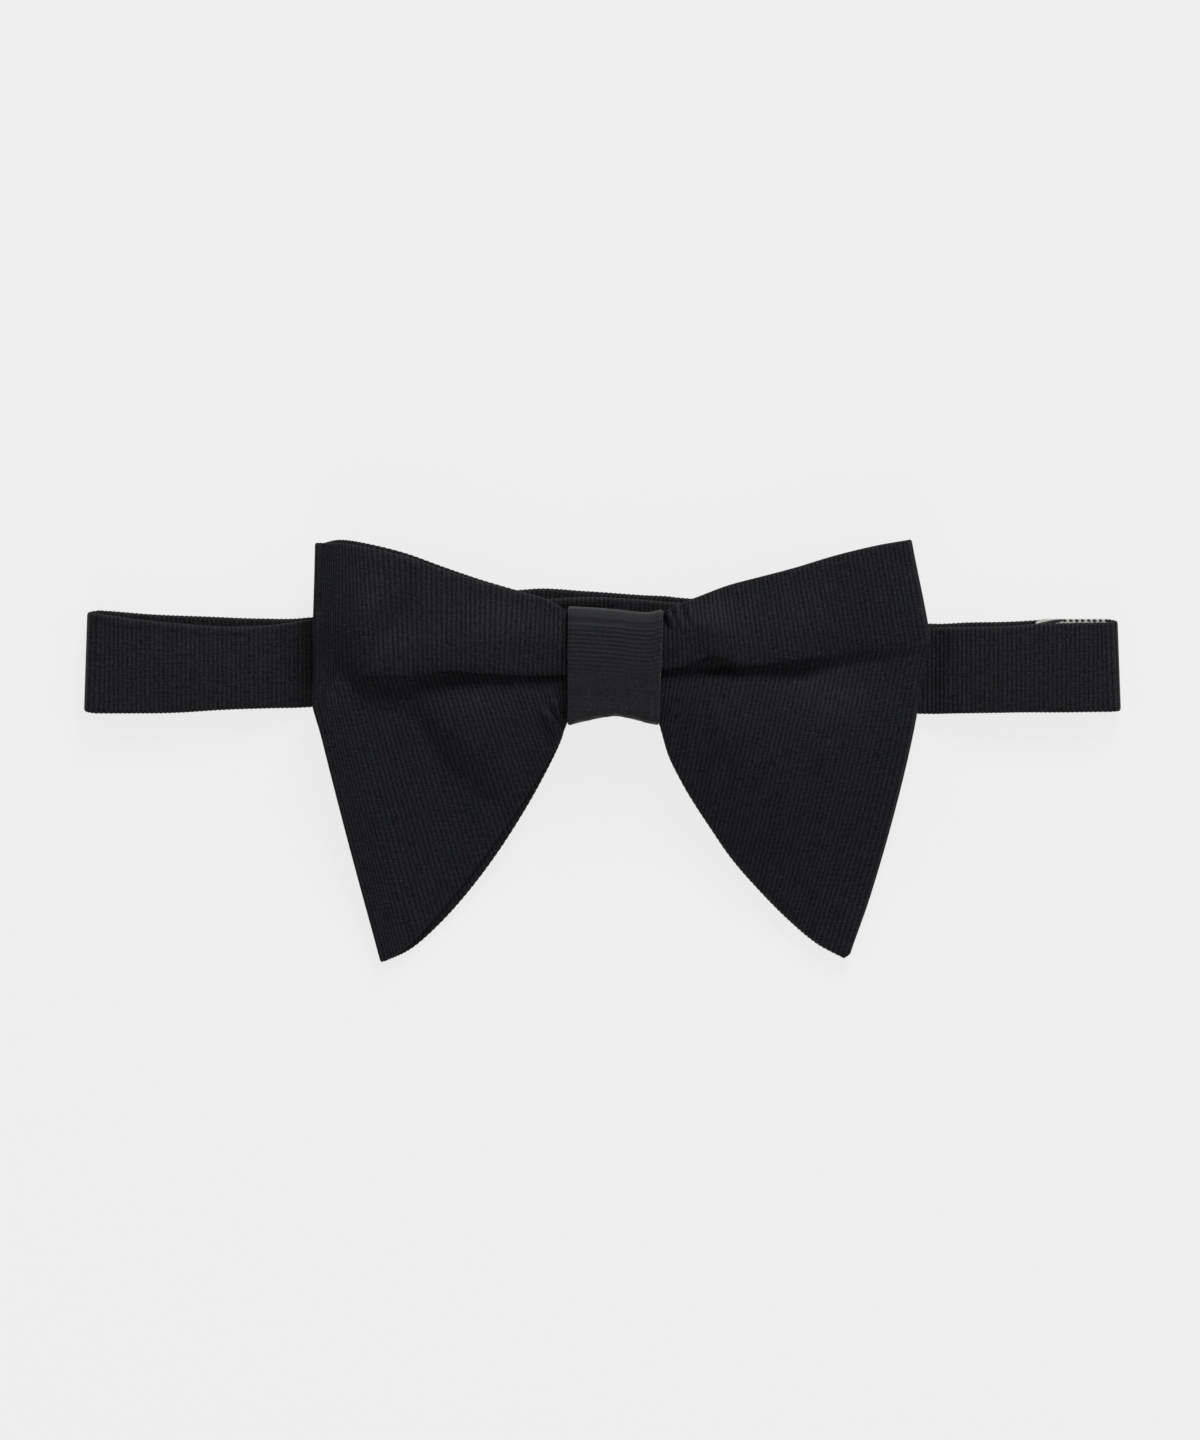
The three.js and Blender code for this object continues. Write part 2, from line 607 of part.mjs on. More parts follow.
// The clasp: a plate whose outer bars carry the band's ends.
function makeClasp() {
  const halfLength = CLASP_MIDDLE_BAR / 2 + CLASP_SLOT + CLASP_END_BAR;
  const halfWidth = CLASP_WIDTH / 2;
  const plate = new THREE.Shape();
  roundedRectangle(plate, -halfLength, -halfWidth, halfLength, halfWidth, CLASP_CORNER);
  for (const side of [-1, 1]) {
    const near = (side * CLASP_MIDDLE_BAR) / 2;
    const far = near + side * CLASP_SLOT;
    const halfSlot = CLASP_SLOT_LENGTH / 2;
    const [slotLeft, slotRight] = [Math.min(near, far), Math.max(near, far)];
    const slot = new THREE.Path();
    roundedRectangle(slot, slotLeft, -halfSlot, slotRight, halfSlot, CLASP_SLOT_CORNER);
    plate.holes.push(slot);
  }
  const options = { depth: CLASP_THICKNESS, bevelEnabled: false, curveSegments: 4 };
  return new THREE.ExtrudeGeometry(plate, options);
}

// The label: a small piece of tape laid on the inner face of the back run.
function makeLabel() {
  const width = LABEL.x[1] - LABEL.x[0];
  const height = LABEL.y[1] - LABEL.y[0];
  return new THREE.BoxGeometry(width, height, LABEL_CLOTH, 4, 2, 1);
}

function cloth(colour, roughness) {
  return new THREE.MeshStandardMaterial({ color: colour, roughness, metalness: 0 });
}

function piece(name, geometry, material) {
  const mesh = new THREE.Mesh(geometry, material);
  mesh.name = name;
  return mesh;
}

const ribbedBlack = cloth(0x1f2022, 0.8);
const knotBlack = cloth(0x232426, 0.75);
const tapeWhite = cloth(0xd2d0c8, 0.8);
const plate = new THREE.MeshStandardMaterial({ color: 0x33343a, roughness: 0.35, metalness: 0.9 });

const bowTie = new THREE.Group();
bowTie.add(piece("bow", makeBow(), ribbedBlack));
bowTie.add(piece("knot", makeKnot(), knotBlack));
bowTie.add(piece("neck_band", makeBand(), ribbedBlack));

const clasp = piece("band_clasp", makeClasp(), plate);
clasp.position.set(CLASP_X, CLASP_Y, CLASP_HEIGHT);
bowTie.add(clasp);

const label = piece("size_label", makeLabel(), tapeWhite);
label.position.set(
  (LABEL.x[0] + LABEL.x[1]) / 2,
  (LABEL.y[0] + LABEL.y[1]) / 2,
  BAND_CLOTH + GAP + LABEL_CLOTH / 2
);
bowTie.add(label);

export default bowTie;
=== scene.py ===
import math

import bmesh
import bpy
import mathutils
import numpy as np
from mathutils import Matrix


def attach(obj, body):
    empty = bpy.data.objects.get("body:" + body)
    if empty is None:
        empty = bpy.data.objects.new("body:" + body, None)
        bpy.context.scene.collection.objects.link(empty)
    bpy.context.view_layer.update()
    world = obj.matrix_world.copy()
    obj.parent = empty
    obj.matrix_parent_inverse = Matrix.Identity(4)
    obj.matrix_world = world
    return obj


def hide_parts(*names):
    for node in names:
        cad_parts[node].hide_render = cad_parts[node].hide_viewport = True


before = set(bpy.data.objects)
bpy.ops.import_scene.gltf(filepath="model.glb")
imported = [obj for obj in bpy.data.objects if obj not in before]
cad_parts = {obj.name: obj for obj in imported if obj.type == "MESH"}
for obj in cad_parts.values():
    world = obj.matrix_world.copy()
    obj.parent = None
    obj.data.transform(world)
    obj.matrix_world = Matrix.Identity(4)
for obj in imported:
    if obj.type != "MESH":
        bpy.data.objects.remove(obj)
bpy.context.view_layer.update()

MM = 0.001

# The view and the light. The bow tie lies on a plain pale table and is seen from straight above,
# in a picture of 1200 by 1440 pixels at 0.195 mm a pixel. The light is one broad window beyond
# the top edge of the bow, with weaker ones on the other sides.
PIXEL = 0.195 * MM
PICTURE_WIDTH = 1200 * PIXEL
KNOT_PIXEL = (615, 665)
PICTURE_CENTRE = (600, 720)
CAMERA_HEIGHT = 3.0
CAMERA_REACH = 20
SENSOR = 36.0
ROOM_LIGHT = 0.24

camera = bpy.data.objects.new("camera", bpy.data.cameras.new("camera"))
camera.data.sensor_fit = "HORIZONTAL"
camera.data.sensor_width = SENSOR
camera.data.lens = SENSOR * CAMERA_HEIGHT / PICTURE_WIDTH
camera.data.clip_end = CAMERA_REACH
camera.location = (
    (PICTURE_CENTRE[0] - KNOT_PIXEL[0]) * PIXEL,
    (KNOT_PIXEL[1] - PICTURE_CENTRE[1]) * PIXEL,
    CAMERA_HEIGHT,
)
bpy.context.scene.collection.objects.link(camera)
bpy.context.scene.camera = camera
bpy.context.scene.view_settings.view_transform = "Standard"


def light(name, place, size, power):
    """A square window that faces the bow tie from this place, in metres."""
    lamp = bpy.data.lights.new(name, "AREA")
    lamp.size = size
    lamp.energy = power
    panel = bpy.data.objects.new(name, lamp)
    panel.location = place
    aim = -panel.location.normalized()
    panel.rotation_euler = aim.to_track_quat("-Z", "Y").to_euler()
    bpy.context.scene.collection.objects.link(panel)


light("window_beyond", place=(0.7, 2.5, 1.6), size=1.2, power=81)
light("window_left", place=(-2.6, 0.3, 1.3), size=1.2, power=5)
light("window_right", place=(2.6, 0.2, 1.6), size=1.2, power=8)
light("window_near", place=(-0.3, -2.6, 1.6), size=1.6, power=25)

world = bpy.data.worlds.new("room")
world.use_nodes = True
sky = world.node_tree.nodes["Background"]
sky.inputs["Color"].default_value = (1, 1, 1, 1)
sky.inputs["Strength"].default_value = ROOM_LIGHT
bpy.context.scene.world = world


# The table. It is one sheet of plain pale paper that lies just under the bow tie. It glows a
# little by itself, so that it is even in tone from edge to edge as in the photograph.
TABLE_HALF = 3.0
TABLE_DROP = 0.05 * MM
PAPER_GREY = 0.08
PAPER_GLOW = 0.79


def new_material(name):
    """A material with only its Principled BSDF, with the nodes, the links and that shader."""
    material = bpy.data.materials.new(name)
    material.use_nodes = True
    nodes = material.node_tree.nodes
    return material, nodes, material.node_tree.links, nodes["Principled BSDF"]


table_mesh = bmesh.new()
bmesh.ops.create_grid(table_mesh, x_segments=1, y_segments=1, size=TABLE_HALF)
bmesh.ops.translate(table_mesh, verts=table_mesh.verts, vec=(0, 0, -TABLE_DROP))
table_top = bpy.data.objects.new("table_top", bpy.data.meshes.new("table_top"))
table_mesh.to_mesh(table_top.data)
table_mesh.free()
bpy.context.scene.collection.objects.link(table_top)
paper, nodes, links, shader = new_material("pale_paper")
shader.inputs["Base Color"].default_value = (PAPER_GREY, PAPER_GREY, PAPER_GREY, 1)
shader.inputs["Roughness"].default_value = 1
shader.inputs["Specular IOR Level"].default_value = 0
shader.inputs["Emission Color"].default_value = (1, 1, 1, 1)
shader.inputs["Emission Strength"].default_value = PAPER_GLOW
table_top.data.materials.append(paper)


# The wings of the bow. Each is one length of doubled black ribbed cloth that leaves the knot in
# front, folds round at the wing's outer edge and comes back behind. A knife pleat crosses the
# front ply, and the knot's pinch feeds it. Sizes in this section are in millimetres.
BOW_HALF_CLOTH = 0.36
RIB_PITCH = 0.93
RIB_STEPS = 6
RIB_HEIGHT = 0.12
RIB_SQUARENESS = 2.4
LAYER_SPACING = 0.92
PLEAT_DEPTH = 5.2
PLEAT_END_DEPTH = 0.5
PLEAT_OPENS = {-1: (0.7, 0.95), 1: (0.42, 0.8)}
TIP_ROUNDING = {-1: 0.0, 1: 0.9}
PLEAT_FADES_BY = {-1: 0.9, 1: 0.6}
PLEAT_MARGIN = 0.4
PLEAT_COVERS = (math.pi / 4, 3 * math.pi / 4)
MOST_COVERED = 0.75
OPEN_ARC = 1.5
CROWN_SHARPNESS = 1.1
HELD_AT_EDGES = 8
WING_START = 9.6
WING_REACH = 57.3
BOW_OVER_BAND = 6.4
BOW_IN_KNOT = 7.6
LEAVES_KNOT = (10, 18)
BOW_TIP_HEIGHT = 0.55
BOW_TIP_Y = -57.0
BAND_TOP_Y = 10.5
BAND_BOTTOM_Y = -10.0
TOP_CORNER_DROOP = 0.8
TOP_CORNER_Y = 26
BROAD_WAVE = 0.12
FINE_WAVE = 0.08
UPPER_CELLS = 13
ARC_CELLS = 6
TUCK_CELLS = 2
LOWER_CELLS = 30
TIP_CELLS = 6
KNOT_ROW = 11
FINE_ROWS = 1200
MERGED_WITHIN = 0.0005


def table(columns, *rows):
    """Named columns, each an array with a value for every row."""
    return dict(zip(columns.split(), np.array(rows, float).T))


def between(rows, place):
    """Every column at places between the rows, on smooth curves. Place 0 is the first row."""
    last = len(next(iter(rows.values()))) - 1
    place = np.asarray(place, float)
    i = np.clip(np.floor(place).astype(int), 0, last - 1)
    t = place - i
    found = {}
    for name, column in rows.items():
        a, b, c, d = (column[np.clip(i + k, 0, last)] for k in (-1, 0, 1, 2))
        curve = 2 * a - 5 * b + 4 * c - d + t * (3 * (b - c) + d - a)
        found[name] = b + 0.5 * t * (c - a + t * curve)
    return found


def where(rows, column, value):
    """Every column at the places where one that only grows has these values."""
    return between(rows, np.interp(value, rows[column], np.arange(len(rows[column]))))


def mix(a, b, share):
    return a + (b - a) * share


def smooth(value, low, high):
    """0 below low, 1 above high and an even ease between them."""
    t = np.clip((value - low) / (high - low), 0, 1)
    return t * t * (3 - 2 * t)


def unit(vectors):
    return vectors / np.maximum(np.linalg.norm(vectors, axis=-1, keepdims=True), 1e-9)


# One row for each of the lines that the ribs follow, from the left outer fold to the right one:
# its top end, the lip of the pleat, its bottom end, how far its lower part bulges outwards, how
# far the back ply stands above the front ply's top edge, how much shorter the front ply is, and
# how far the lip of the pleat gapes.
RIB_LINES = table(
    "top_x top_y lip_x lip_y bottom_x bottom_y bulge back_rise front_short lip_rise",
    (-58.5, 23.8, -59.3, -8.0, -45.7, -58.0, 0.2, 0.0, 0.0, 0.0),
    (-53.6, 23.7, -53.5, -1.6, -39.5, -55.2, 0.2, 0.7, 1.0, 0.0),
    (-48.9, 23.0, -47.0, -2.1, -33.6, -49.9, 0.1, 0.8, 1.8, 0.3),
    (-41.1, 21.2, -40.0, -2.3, -27.9, -43.4, 0.0, 0.7, 2.1, 0.7),
    (-33.3, 18.5, -33.0, -1.3, -22.3, -35.8, 0.0, 0.6, 2.0, 0.9),
    (-26.3, 16.3, -26.0, -1.75, -17.0, -27.4, 0.0, 0.4, 1.5, 0.6),
    (-18.9, 14.3, -19.5, -2.1, -13.0, -20.1, 0.0, 0.2, 0.9, 0.3),
    (-13.6, 12.9, -14.0, -2.2, -10.5, -14.8, 0.0, 0.0, 0.4, 0.0),
    (-9.9, 10.9, -9.9, -2.1, -9.6, -11.6, 0.0, 0.0, 0.0, 0.0),
    (-8.6, 9.6, -8.6, -2.1, -8.5, -9.4, 0.0, 0.0, 0.0, 0.0),
    (-6.0, 9.4, -6.0, -2.0, -6.0, -8.9, 0.0, 0.0, 0.0, 0.0),
    (0.0, 9.4, 0.0, -1.7, 0.0, -8.6, 0.0, 0.0, 0.0, 0.0),
    (6.3, 9.2, 6.3, -1.3, 6.0, -8.9, 0.0, 0.0, 0.0, 0.0),
    (9.0, 9.2, 9.0, -1.2, 7.9, -9.4, 0.0, 0.0, 0.0, 0.0),
    (10.2, 10.7, 10.2, -1.0, 8.8, -12.2, 0.0, 0.0, 0.0, 0.0),
    (13.6, 12.3, 14.2, -0.3, 10.4, -17.8, 0.0, 0.0, 0.1, 0.4),
    (17.2, 13.7, 18.2, 1.5, 13.2, -23.4, 0.0, 0.0, 0.2, 1.3),
    (20.0, 14.8, 21.4, 0.9, 15.6, -27.4, 0.0, 0.0, 0.3, 0.9),
    (23.0, 15.8, 24.8, -0.3, 18.1, -31.2, 0.0, 0.0, 0.3, 0.3),
    (28.8, 17.3, 31.0, 0.1, 22.5, -37.6, 0.1, 0.0, 0.3, 0.2),
    (35.2, 19.0, 38.0, 1.2, 27.6, -43.5, 0.3, 0.0, 0.3, 0.1),
    (42.8, 21.3, 46.0, 2.3, 33.4, -49.4, 0.6, 0.0, 0.3, 0.0),
    (50.6, 23.2, 54.0, 3.4, 39.2, -54.3, 0.9, 0.0, 0.2, 0.0),
    (57.9, 24.5, 61.6, 3.9, 45.8, -57.5, 1.2, 0.0, 0.0, 0.0),
)

# How far the front ply stands off the back ply, from the knot (0) to the outer fold (1): at its
# top edge, at the pleat and at its bottom edge, and how far its lower part swells between them.
LOFT = table(
    "out top pleat bottom crown",
    (0.0, 1.0, 1.1, 1.0, 0.5),
    (0.1, 1.9, 1.9, 1.0, 0.6),
    (0.2, 2.5, 2.6, 0.98, 1.2),
    (0.4, 2.9, 2.8, 0.98, 2.6),
    (0.6, 3.0, 2.6, 1.0, 3.3),
    (0.8, 2.8, 2.4, 1.1, 2.2),
    (1.0, 2.4, 2.6, 1.5, 0.0),
)

# Slack places in the front ply: where each one lies, how deep it is (below 0 where the cloth
# stands up), how far it spreads along its direction and to the left and right of it, and that
# direction, in degrees from the X axis.
HOLLOWS = table(
    "x y depth length left right turn",
    (-37.6, -17.5, 5.0, 11.0, 4.8, 24.0, -48),
    (-29.4, -25.6, 3.6, 7.0, 5.2, 24.0, -48),
    (-38.0, -12.0, 1.2, 16.0, 12.0, 24.0, -48),
    (-41.5, -7.0, 0.5, 4.0, 3.5, 5.0, -50),
    (-43.8, 6.4, 4.6, 6.0, 2.6, 7.0, 60),
    (-46.6, 8.6, -0.8, 5.0, 5.0, 3.0, 60),
    (-52.5, -1.0, 1.4, 5.0, 2.6, 4.0, 15),
    (-56.5, 2.0, 0.9, 4.0, 1.8, 3.0, 75),
    (20.5, -0.6, 1.5, 5.0, 1.6, 1.6, 6),
    (36.5, 2.4, 2.1, 6.5, 2.4, 4.5, 8),
    (47.5, 0.4, 2.0, 10.0, 2.2, 8.5, 6),
    (33.0, -14.0, 0.6, 9.0, 5.0, 5.0, -70),
    (20.0, -12.0, -0.5, 8.0, 3.0, 3.0, -55),
    (-53.0, -6.0, 0.5, 3.0, 1.0, 1.0, -20),
    (-52.0, -9.0, 0.45, 3.0, 1.0, 1.0, -28),
    (-12.4, -11.0, -1.1, 2.6, 0.6, 0.6, 128),
    (-11.2, -8.6, -0.9, 2.2, 0.6, 0.6, 118),
    (11.0, 8.6, -2.2, 2.4, 0.5, 0.5, 118),
    (12.9, 8.0, -2.0, 3.0, 0.6, 0.6, 112),
    (14.9, 9.6, -1.2, 3.0, 0.7, 0.7, 112),
)


def back_ply_height(x, y):
    """Height of the back ply's middle. It rides over the band and droops off it on both sides."""
    high = mix(BOW_IN_KNOT, BOW_OVER_BAND, smooth(np.abs(x), *LEAVES_KNOT))
    low = np.clip((y - BOW_TIP_Y) / (BAND_BOTTOM_Y - BOW_TIP_Y), 0, 1)
    drooped = mix(BOW_TIP_HEIGHT, high, (low + smooth(low, 0, 1)) / 2)
    upper = high - TOP_CORNER_DROOP * smooth(y, BAND_TOP_Y, TOP_CORNER_Y)
    return np.where(y < BAND_BOTTOM_Y, drooped, upper)


def slackness(x, y):
    """How far the front ply sinks at a place, from its hollows and a soft unevenness."""
    sunk = BROAD_WAVE * np.sin(x / 5.3 + 0.7) * np.sin(y / 7.1 + 1.9)
    sunk = sunk + FINE_WAVE * np.sin(x / 2.9 - y / 4.3)
    for x0, y0, depth, length, left, right, turn in zip(*HOLLOWS.values()):
        angle = math.radians(turn)
        along = (x - x0) * math.cos(angle) + (y - y0) * math.sin(angle)
        across = (y - y0) * math.cos(angle) - (x - x0) * math.sin(angle)
        width = np.where(across > 0, left, right)
        sunk = sunk + depth * np.exp(-((along / length) ** 2 + (across / width) ** 2))
    return sunk


def pleat_walk(turn, depth):
    """Each rib line's walk over the pleat, as (along, up) from the end of its upper panel. The
    middle of its first bend is the lip."""
    bend = (np.arange(ARC_CELLS) + 0.5) / ARC_CELLS
    heading = turn[:, None] * np.concatenate([bend, np.ones(TUCK_CELLS), bend[::-1]])
    arc = mix(OPEN_ARC, LAYER_SPACING * math.pi / 2, turn / math.pi)[:, None] / ARC_CELLS
    tuck = depth[:, None] / TUCK_CELLS
    step = np.concatenate([arc.repeat(ARC_CELLS, 1), tuck.repeat(TUCK_CELLS, 1)], 1)
    step = np.concatenate([step, arc.repeat(ARC_CELLS, 1)], 1)
    along = np.cumsum(step * np.cos(heading), 1)
    up = -np.cumsum(step * np.sin(heading), 1)
    start = np.zeros((len(turn), 1))
    return np.concatenate([start, along], 1), np.concatenate([start, up], 1)


def rib_lines(row, folded):
    """The middle of the cloth along rib lines, as points[line, place along it]. With folded
    false they are the plain lines of the back ply."""
    out = np.clip((np.abs(row["lip_x"]) - WING_START) / (WING_REACH - WING_START), 0, 1)
    left = row["lip_x"] < 0
    opened = np.where(left, smooth(out, *PLEAT_OPENS[-1]), smooth(out, *PLEAT_OPENS[1]))
    faded = np.where(left, smooth(out, 0, PLEAT_FADES_BY[-1]), smooth(out, 0, PLEAT_FADES_BY[1]))
    turn = math.pi * (1 - opened) if folded else np.zeros(len(out))
    depth = mix(PLEAT_DEPTH, PLEAT_END_DEPTH, faded if folded else np.ones(len(out)))
    along, up = pleat_walk(turn, depth)
    tilt = turn / math.pi
    edge = BOW_HALF_CLOTH + RIB_HEIGHT / 2
    reach = along[:, ARC_CELLS // 2] + edge * tilt
    drop = -up[:, -1]
    loft = where(LOFT, "out", out)

    lip = np.stack([row["lip_x"], row["lip_y"]], 1)
    rise = 0 if folded else row["back_rise"]
    short = row["front_short"] if folded else np.zeros(len(out))
    top = np.stack([row["top_x"], row["top_y"] + rise], 1)
    bottom = np.stack([row["bottom_x"], row["bottom_y"]], 1)
    down = unit(bottom - lip)
    over = unit(lip - top)
    top = top + over * edge
    bottom = bottom - down * (short + edge)[:, None]
    over = unit(mix(over, down, tilt[:, None]))

    walk = (along - reach[:, None])[:, :, None]
    pleat = lip[:, None] + np.where(walk < 0, over[:, None], down[:, None]) * walk
    start, end = pleat[:, 0], pleat[:, -1]
    upper_share = (np.arange(UPPER_CELLS) / UPPER_CELLS)[None]
    upper = mix(top[:, None], start[:, None], upper_share[:, :, None])
    lower_share = ((np.arange(LOWER_CELLS) + 1) / LOWER_CELLS)[None]
    lower = mix(end[:, None], bottom[:, None], lower_share[:, :, None])
    outward = np.stack([-down[:, 1], down[:, 0]], 1) * np.sign(row["lip_x"] + 1e-9)[:, None]
    bulge = (row["bulge"][:, None] * np.sin(math.pi * lower_share))[:, :, None]
    lower = lower + outward[:, None] * bulge

    flat = np.concatenate([upper, pleat, lower], 1)
    height = back_ply_height(flat[:, :, 0], flat[:, :, 1])
    if not folded:
        return np.concatenate([flat, height[:, :, None]], 2)

    cover = (depth + PLEAT_MARGIN) * smooth(turn, *PLEAT_COVERS)
    level = opened[:, None]
    upper_length = np.linalg.norm(start - top, axis=1)
    held = np.minimum(cover / upper_length, MOST_COVERED)[:, None]
    fall = smooth(1 - upper_share, held, 1)
    gape = row["lip_rise"][:, None]
    lip_lift = (loft["pleat"] + drop)[:, None] + gape
    upper_lift = mix(lip_lift, loft["top"][:, None], fall)
    covered = np.minimum(cover / np.linalg.norm(bottom - end, axis=1), MOST_COVERED)[:, None]
    open_share = np.clip((lower_share - covered) / (1 - covered), 0, 1)
    crown = loft["crown"][:, None] * np.sin(math.pi * open_share) ** CROWN_SHARPNESS
    lower_lift = mix(loft["pleat"][:, None], loft["bottom"][:, None], open_share) + crown

    first, last = UPPER_CELLS, UPPER_CELLS + pleat.shape[1]
    sunk = slackness(flat[:, :, 0], flat[:, :, 1])
    upper_lift = upper_lift - sunk[:, :first] * mix(fall, 1, level)
    height[:, :first] += np.maximum(upper_lift, loft["bottom"][:, None])
    up = up - gape * np.linspace(0, 1, up.shape[1])
    height[:, first:last] = height[:, first:first + 1] + lip_lift + up - sunk[:, first:last] * level
    # The hollows die out at the lip of the pleat and at the bottom edge.
    free = np.minimum(HELD_AT_EDGES * np.sin(math.pi * open_share), 1)
    sunk = sunk[:, last:] * mix(free, 1, level)
    height[:, last:] += np.maximum(lower_lift - sunk, loft["bottom"][:, None])
    return np.concatenate([flat, height[:, :, None]], 2)


def fold_start(row, side):
    """The outermost rib line moved in to where the fold starts to turn, and which way is out
    above and below the lip."""
    def point(name):
        return np.array([row[name + "_x"], row[name + "_y"]])

    def outward(start, end):
        along = unit(end - start)
        return np.array([-along[1], along[0]]) * side

    upper = outward(point("top"), point("lip"))
    lower = outward(point("lip"), point("bottom"))
    inset = BOW_HALF_CLOTH + RIB_HEIGHT / 2 + LOFT["pleat"][-1] / 2
    tip_inset = BOW_HALF_CLOTH + RIB_HEIGHT / 2 + LOFT["bottom"][-1] / 2
    moved = dict(row)
    for name, way, by in (
        ("top", upper, inset),
        ("lip", unit(upper + lower), inset),
        ("bottom", lower, tip_inset),
    ):
        moved[name + "_x"] = row[name + "_x"] - way[0] * by
        moved[name + "_y"] = row[name + "_y"] - way[1] * by
    return moved, upper, lower


def wing_middle(side):
    """The middle of one wing's cloth, from the knot in front, round the outer fold and back
    behind, with a line every RIB_PITCH / RIB_STEPS, and how far along the cloth each line is."""
    outer = 0 if side < 0 else -1
    moved, upper, lower = fold_start({k: v[outer] for k, v in RIB_LINES.items()}, side)
    lines = {k: v.copy() for k, v in RIB_LINES.items()}
    for name, value in moved.items():
        lines[name][outer] = value
    last = len(lines["lip_x"]) - 1
    fine = np.linspace(KNOT_ROW, 0 if side < 0 else last, FINE_ROWS)
    lips = between(lines, fine)
    way = np.hypot(np.diff(lips["lip_x"]), np.diff(lips["lip_y"]))
    travelled = np.concatenate([[0], np.cumsum(way)])
    ply = travelled[-1]
    fold = math.pi * LOFT["pleat"][-1] / 2
    step = RIB_PITCH / RIB_STEPS
    u = np.arange(0, 2 * ply + fold, step)

    front = rib_lines(between(lines, np.interp(u[u <= ply], travelled, fine)), True)
    back_u = 2 * ply + fold - u[u >= ply + fold]
    back = rib_lines(between(lines, np.interp(back_u, travelled, fine)), False)
    turn = (u[(u > ply) & (u < ply + fold)] - ply) / fold
    start = between(lines, np.array([float(0 if side < 0 else last)]))
    near = rib_lines(start, True)
    far = rib_lines({**start, "back_rise": start["back_rise"] * 0}, False)
    radius = (near[:, :, 2:] - far[:, :, 2:]) / 2
    j = np.arange(near.shape[1])
    leaned = smooth(j, UPPER_CELLS, near.shape[1] - LOWER_CELLS)[None, :, None]
    out = unit(mix(upper, lower, leaned))
    angle = math.pi * turn[:, None, None]
    flat = mix(near[:, :, :2], far[:, :, :2], turn[:, None, None]) + out * radius * np.sin(angle)
    tip = smooth(j, len(j) - 1 - TIP_CELLS, len(j) - 1)
    flat[:, :, 1] += TIP_ROUNDING[side] * np.sin(angle[:, :, 0]) * tip
    height = (near[:, :, 2:] + far[:, :, 2:]) / 2 + radius * np.cos(angle)
    folded = np.concatenate([flat, height], 2)
    return np.concatenate([front, folded, back]), u


def rib_profile(u, pitch):
    """Height of round cords laid side by side, from 0 in the grooves to 1 on the crowns."""
    phase = np.mod(u / pitch, 1)
    return 1 - np.abs(2 * phase - 1) ** RIB_SQUARENESS


def bisectors(points, axis):
    """At each point, the way the cloth runs along an axis, midway between its two steps."""
    step = unit(np.diff(points, axis=axis))
    ends = [np.take(step, [k], axis=axis) for k in (0, -1)]
    return unit(np.concatenate([ends[0], step], axis) + np.concatenate([step, ends[1]], axis))


EDGE_TURNS = (math.pi / 4, math.pi / 2, 3 * math.pi / 4)
LINT = (0.09, 0.09, 0.095, 1)
LINT_FROM = 0.8
LINT_SHOWS = 0.35
# How far the painted shade darkens the grooves between the cords.
PAINTED_GROOVE_SHADE = 0.75


def wrap_cloth(middle, radius, ring=False):
    """Closes a skin about the middle of a cloth: the face, a rounded edge, the back and the other
    rounded edge, as points[line, place round it]. radius is half the thickness at each line."""
    along = bisectors(middle, 0)
    if ring:
        step = unit(np.roll(middle[:-1], -1, 0) - np.roll(middle[:-1], 1, 0))
        along = np.concatenate([step, step[:1]])
    across = bisectors(middle, 1)
    normal = unit(np.cross(along, across))
    radius = np.broadcast_to(radius, middle.shape[:2])[:, :, None]
    face = middle + normal * radius
    back = middle - normal * radius
    parts = [face]
    for angle in EDGE_TURNS:
        lean = normal[:, -1] * math.cos(angle) + across[:, -1] * math.sin(angle)
        parts.append((middle[:, -1] + lean * radius[:, -1])[:, None])
    parts.append(back[:, ::-1])
    for angle in EDGE_TURNS[::-1]:
        lean = normal[:, 0] * math.cos(angle) - across[:, 0] * math.sin(angle)
        parts.append((middle[:, 0] + lean * radius[:, 0])[:, None])
    parts.append(face[:, :1])
    return np.concatenate(parts, 1)


def round_places(along_rib):
    """Spreads a value at each place along a rib over the skin that wrap_cloth makes."""
    edges = len(EDGE_TURNS)
    last = np.repeat(along_rib[:, -1:], edges, 1)
    first = np.repeat(along_rib[:, :1], edges + 1, 1)
    return np.concatenate([along_rib, last, along_rib[:, ::-1], first], 1)


def cloth_piece(name, skin, ribs, v, material, plainness=0):
    """The object for a closed skin, with the ribs counted along the cloth, the millimetres v
    along each of them, and how far they are pressed out, as the attribute for the weave."""
    lines, places = skin.shape[:2]
    grid = bmesh.new()
    bmesh.ops.create_grid(grid, x_segments=lines - 1, y_segments=places - 1, size=0.5)
    mesh = bpy.data.meshes.new(name)
    grid.to_mesh(mesh)
    grid.free()
    corner = np.empty(len(mesh.vertices) * 3, np.float32)
    mesh.vertices.foreach_get("co", corner)
    corner = corner.reshape(-1, 3)
    i = np.rint((corner[:, 0] + 0.5) * (lines - 1)).astype(int)
    j = np.rint((corner[:, 1] + 0.5) * (places - 1)).astype(int)
    mesh.vertices.foreach_set("co", (skin[i, j] * MM).astype(np.float32).ravel())
    weave = mesh.attributes.new("weave", "FLOAT_VECTOR", "POINT")
    # The rib count drives the painted groove shade in the material, and the third value lessens it.
    thread = np.stack([np.broadcast_to(ribs[:, None], v.shape), v, v * 0 + plainness], 2)
    weave.data.foreach_set("vector", thread[i, j].astype(np.float32).ravel())

    closed = bmesh.new()
    closed.from_mesh(mesh)
    bmesh.ops.remove_doubles(closed, verts=closed.verts, dist=MERGED_WITHIN * MM)
    bmesh.ops.recalc_face_normals(closed, faces=closed.faces)
    closed.to_mesh(mesh)
    closed.free()
    mesh.shade_smooth()
    mesh.materials.append(material)
    piece = bpy.data.objects.new(name, mesh)
    bpy.context.scene.collection.objects.link(piece)
    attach(piece, "root")
    return piece


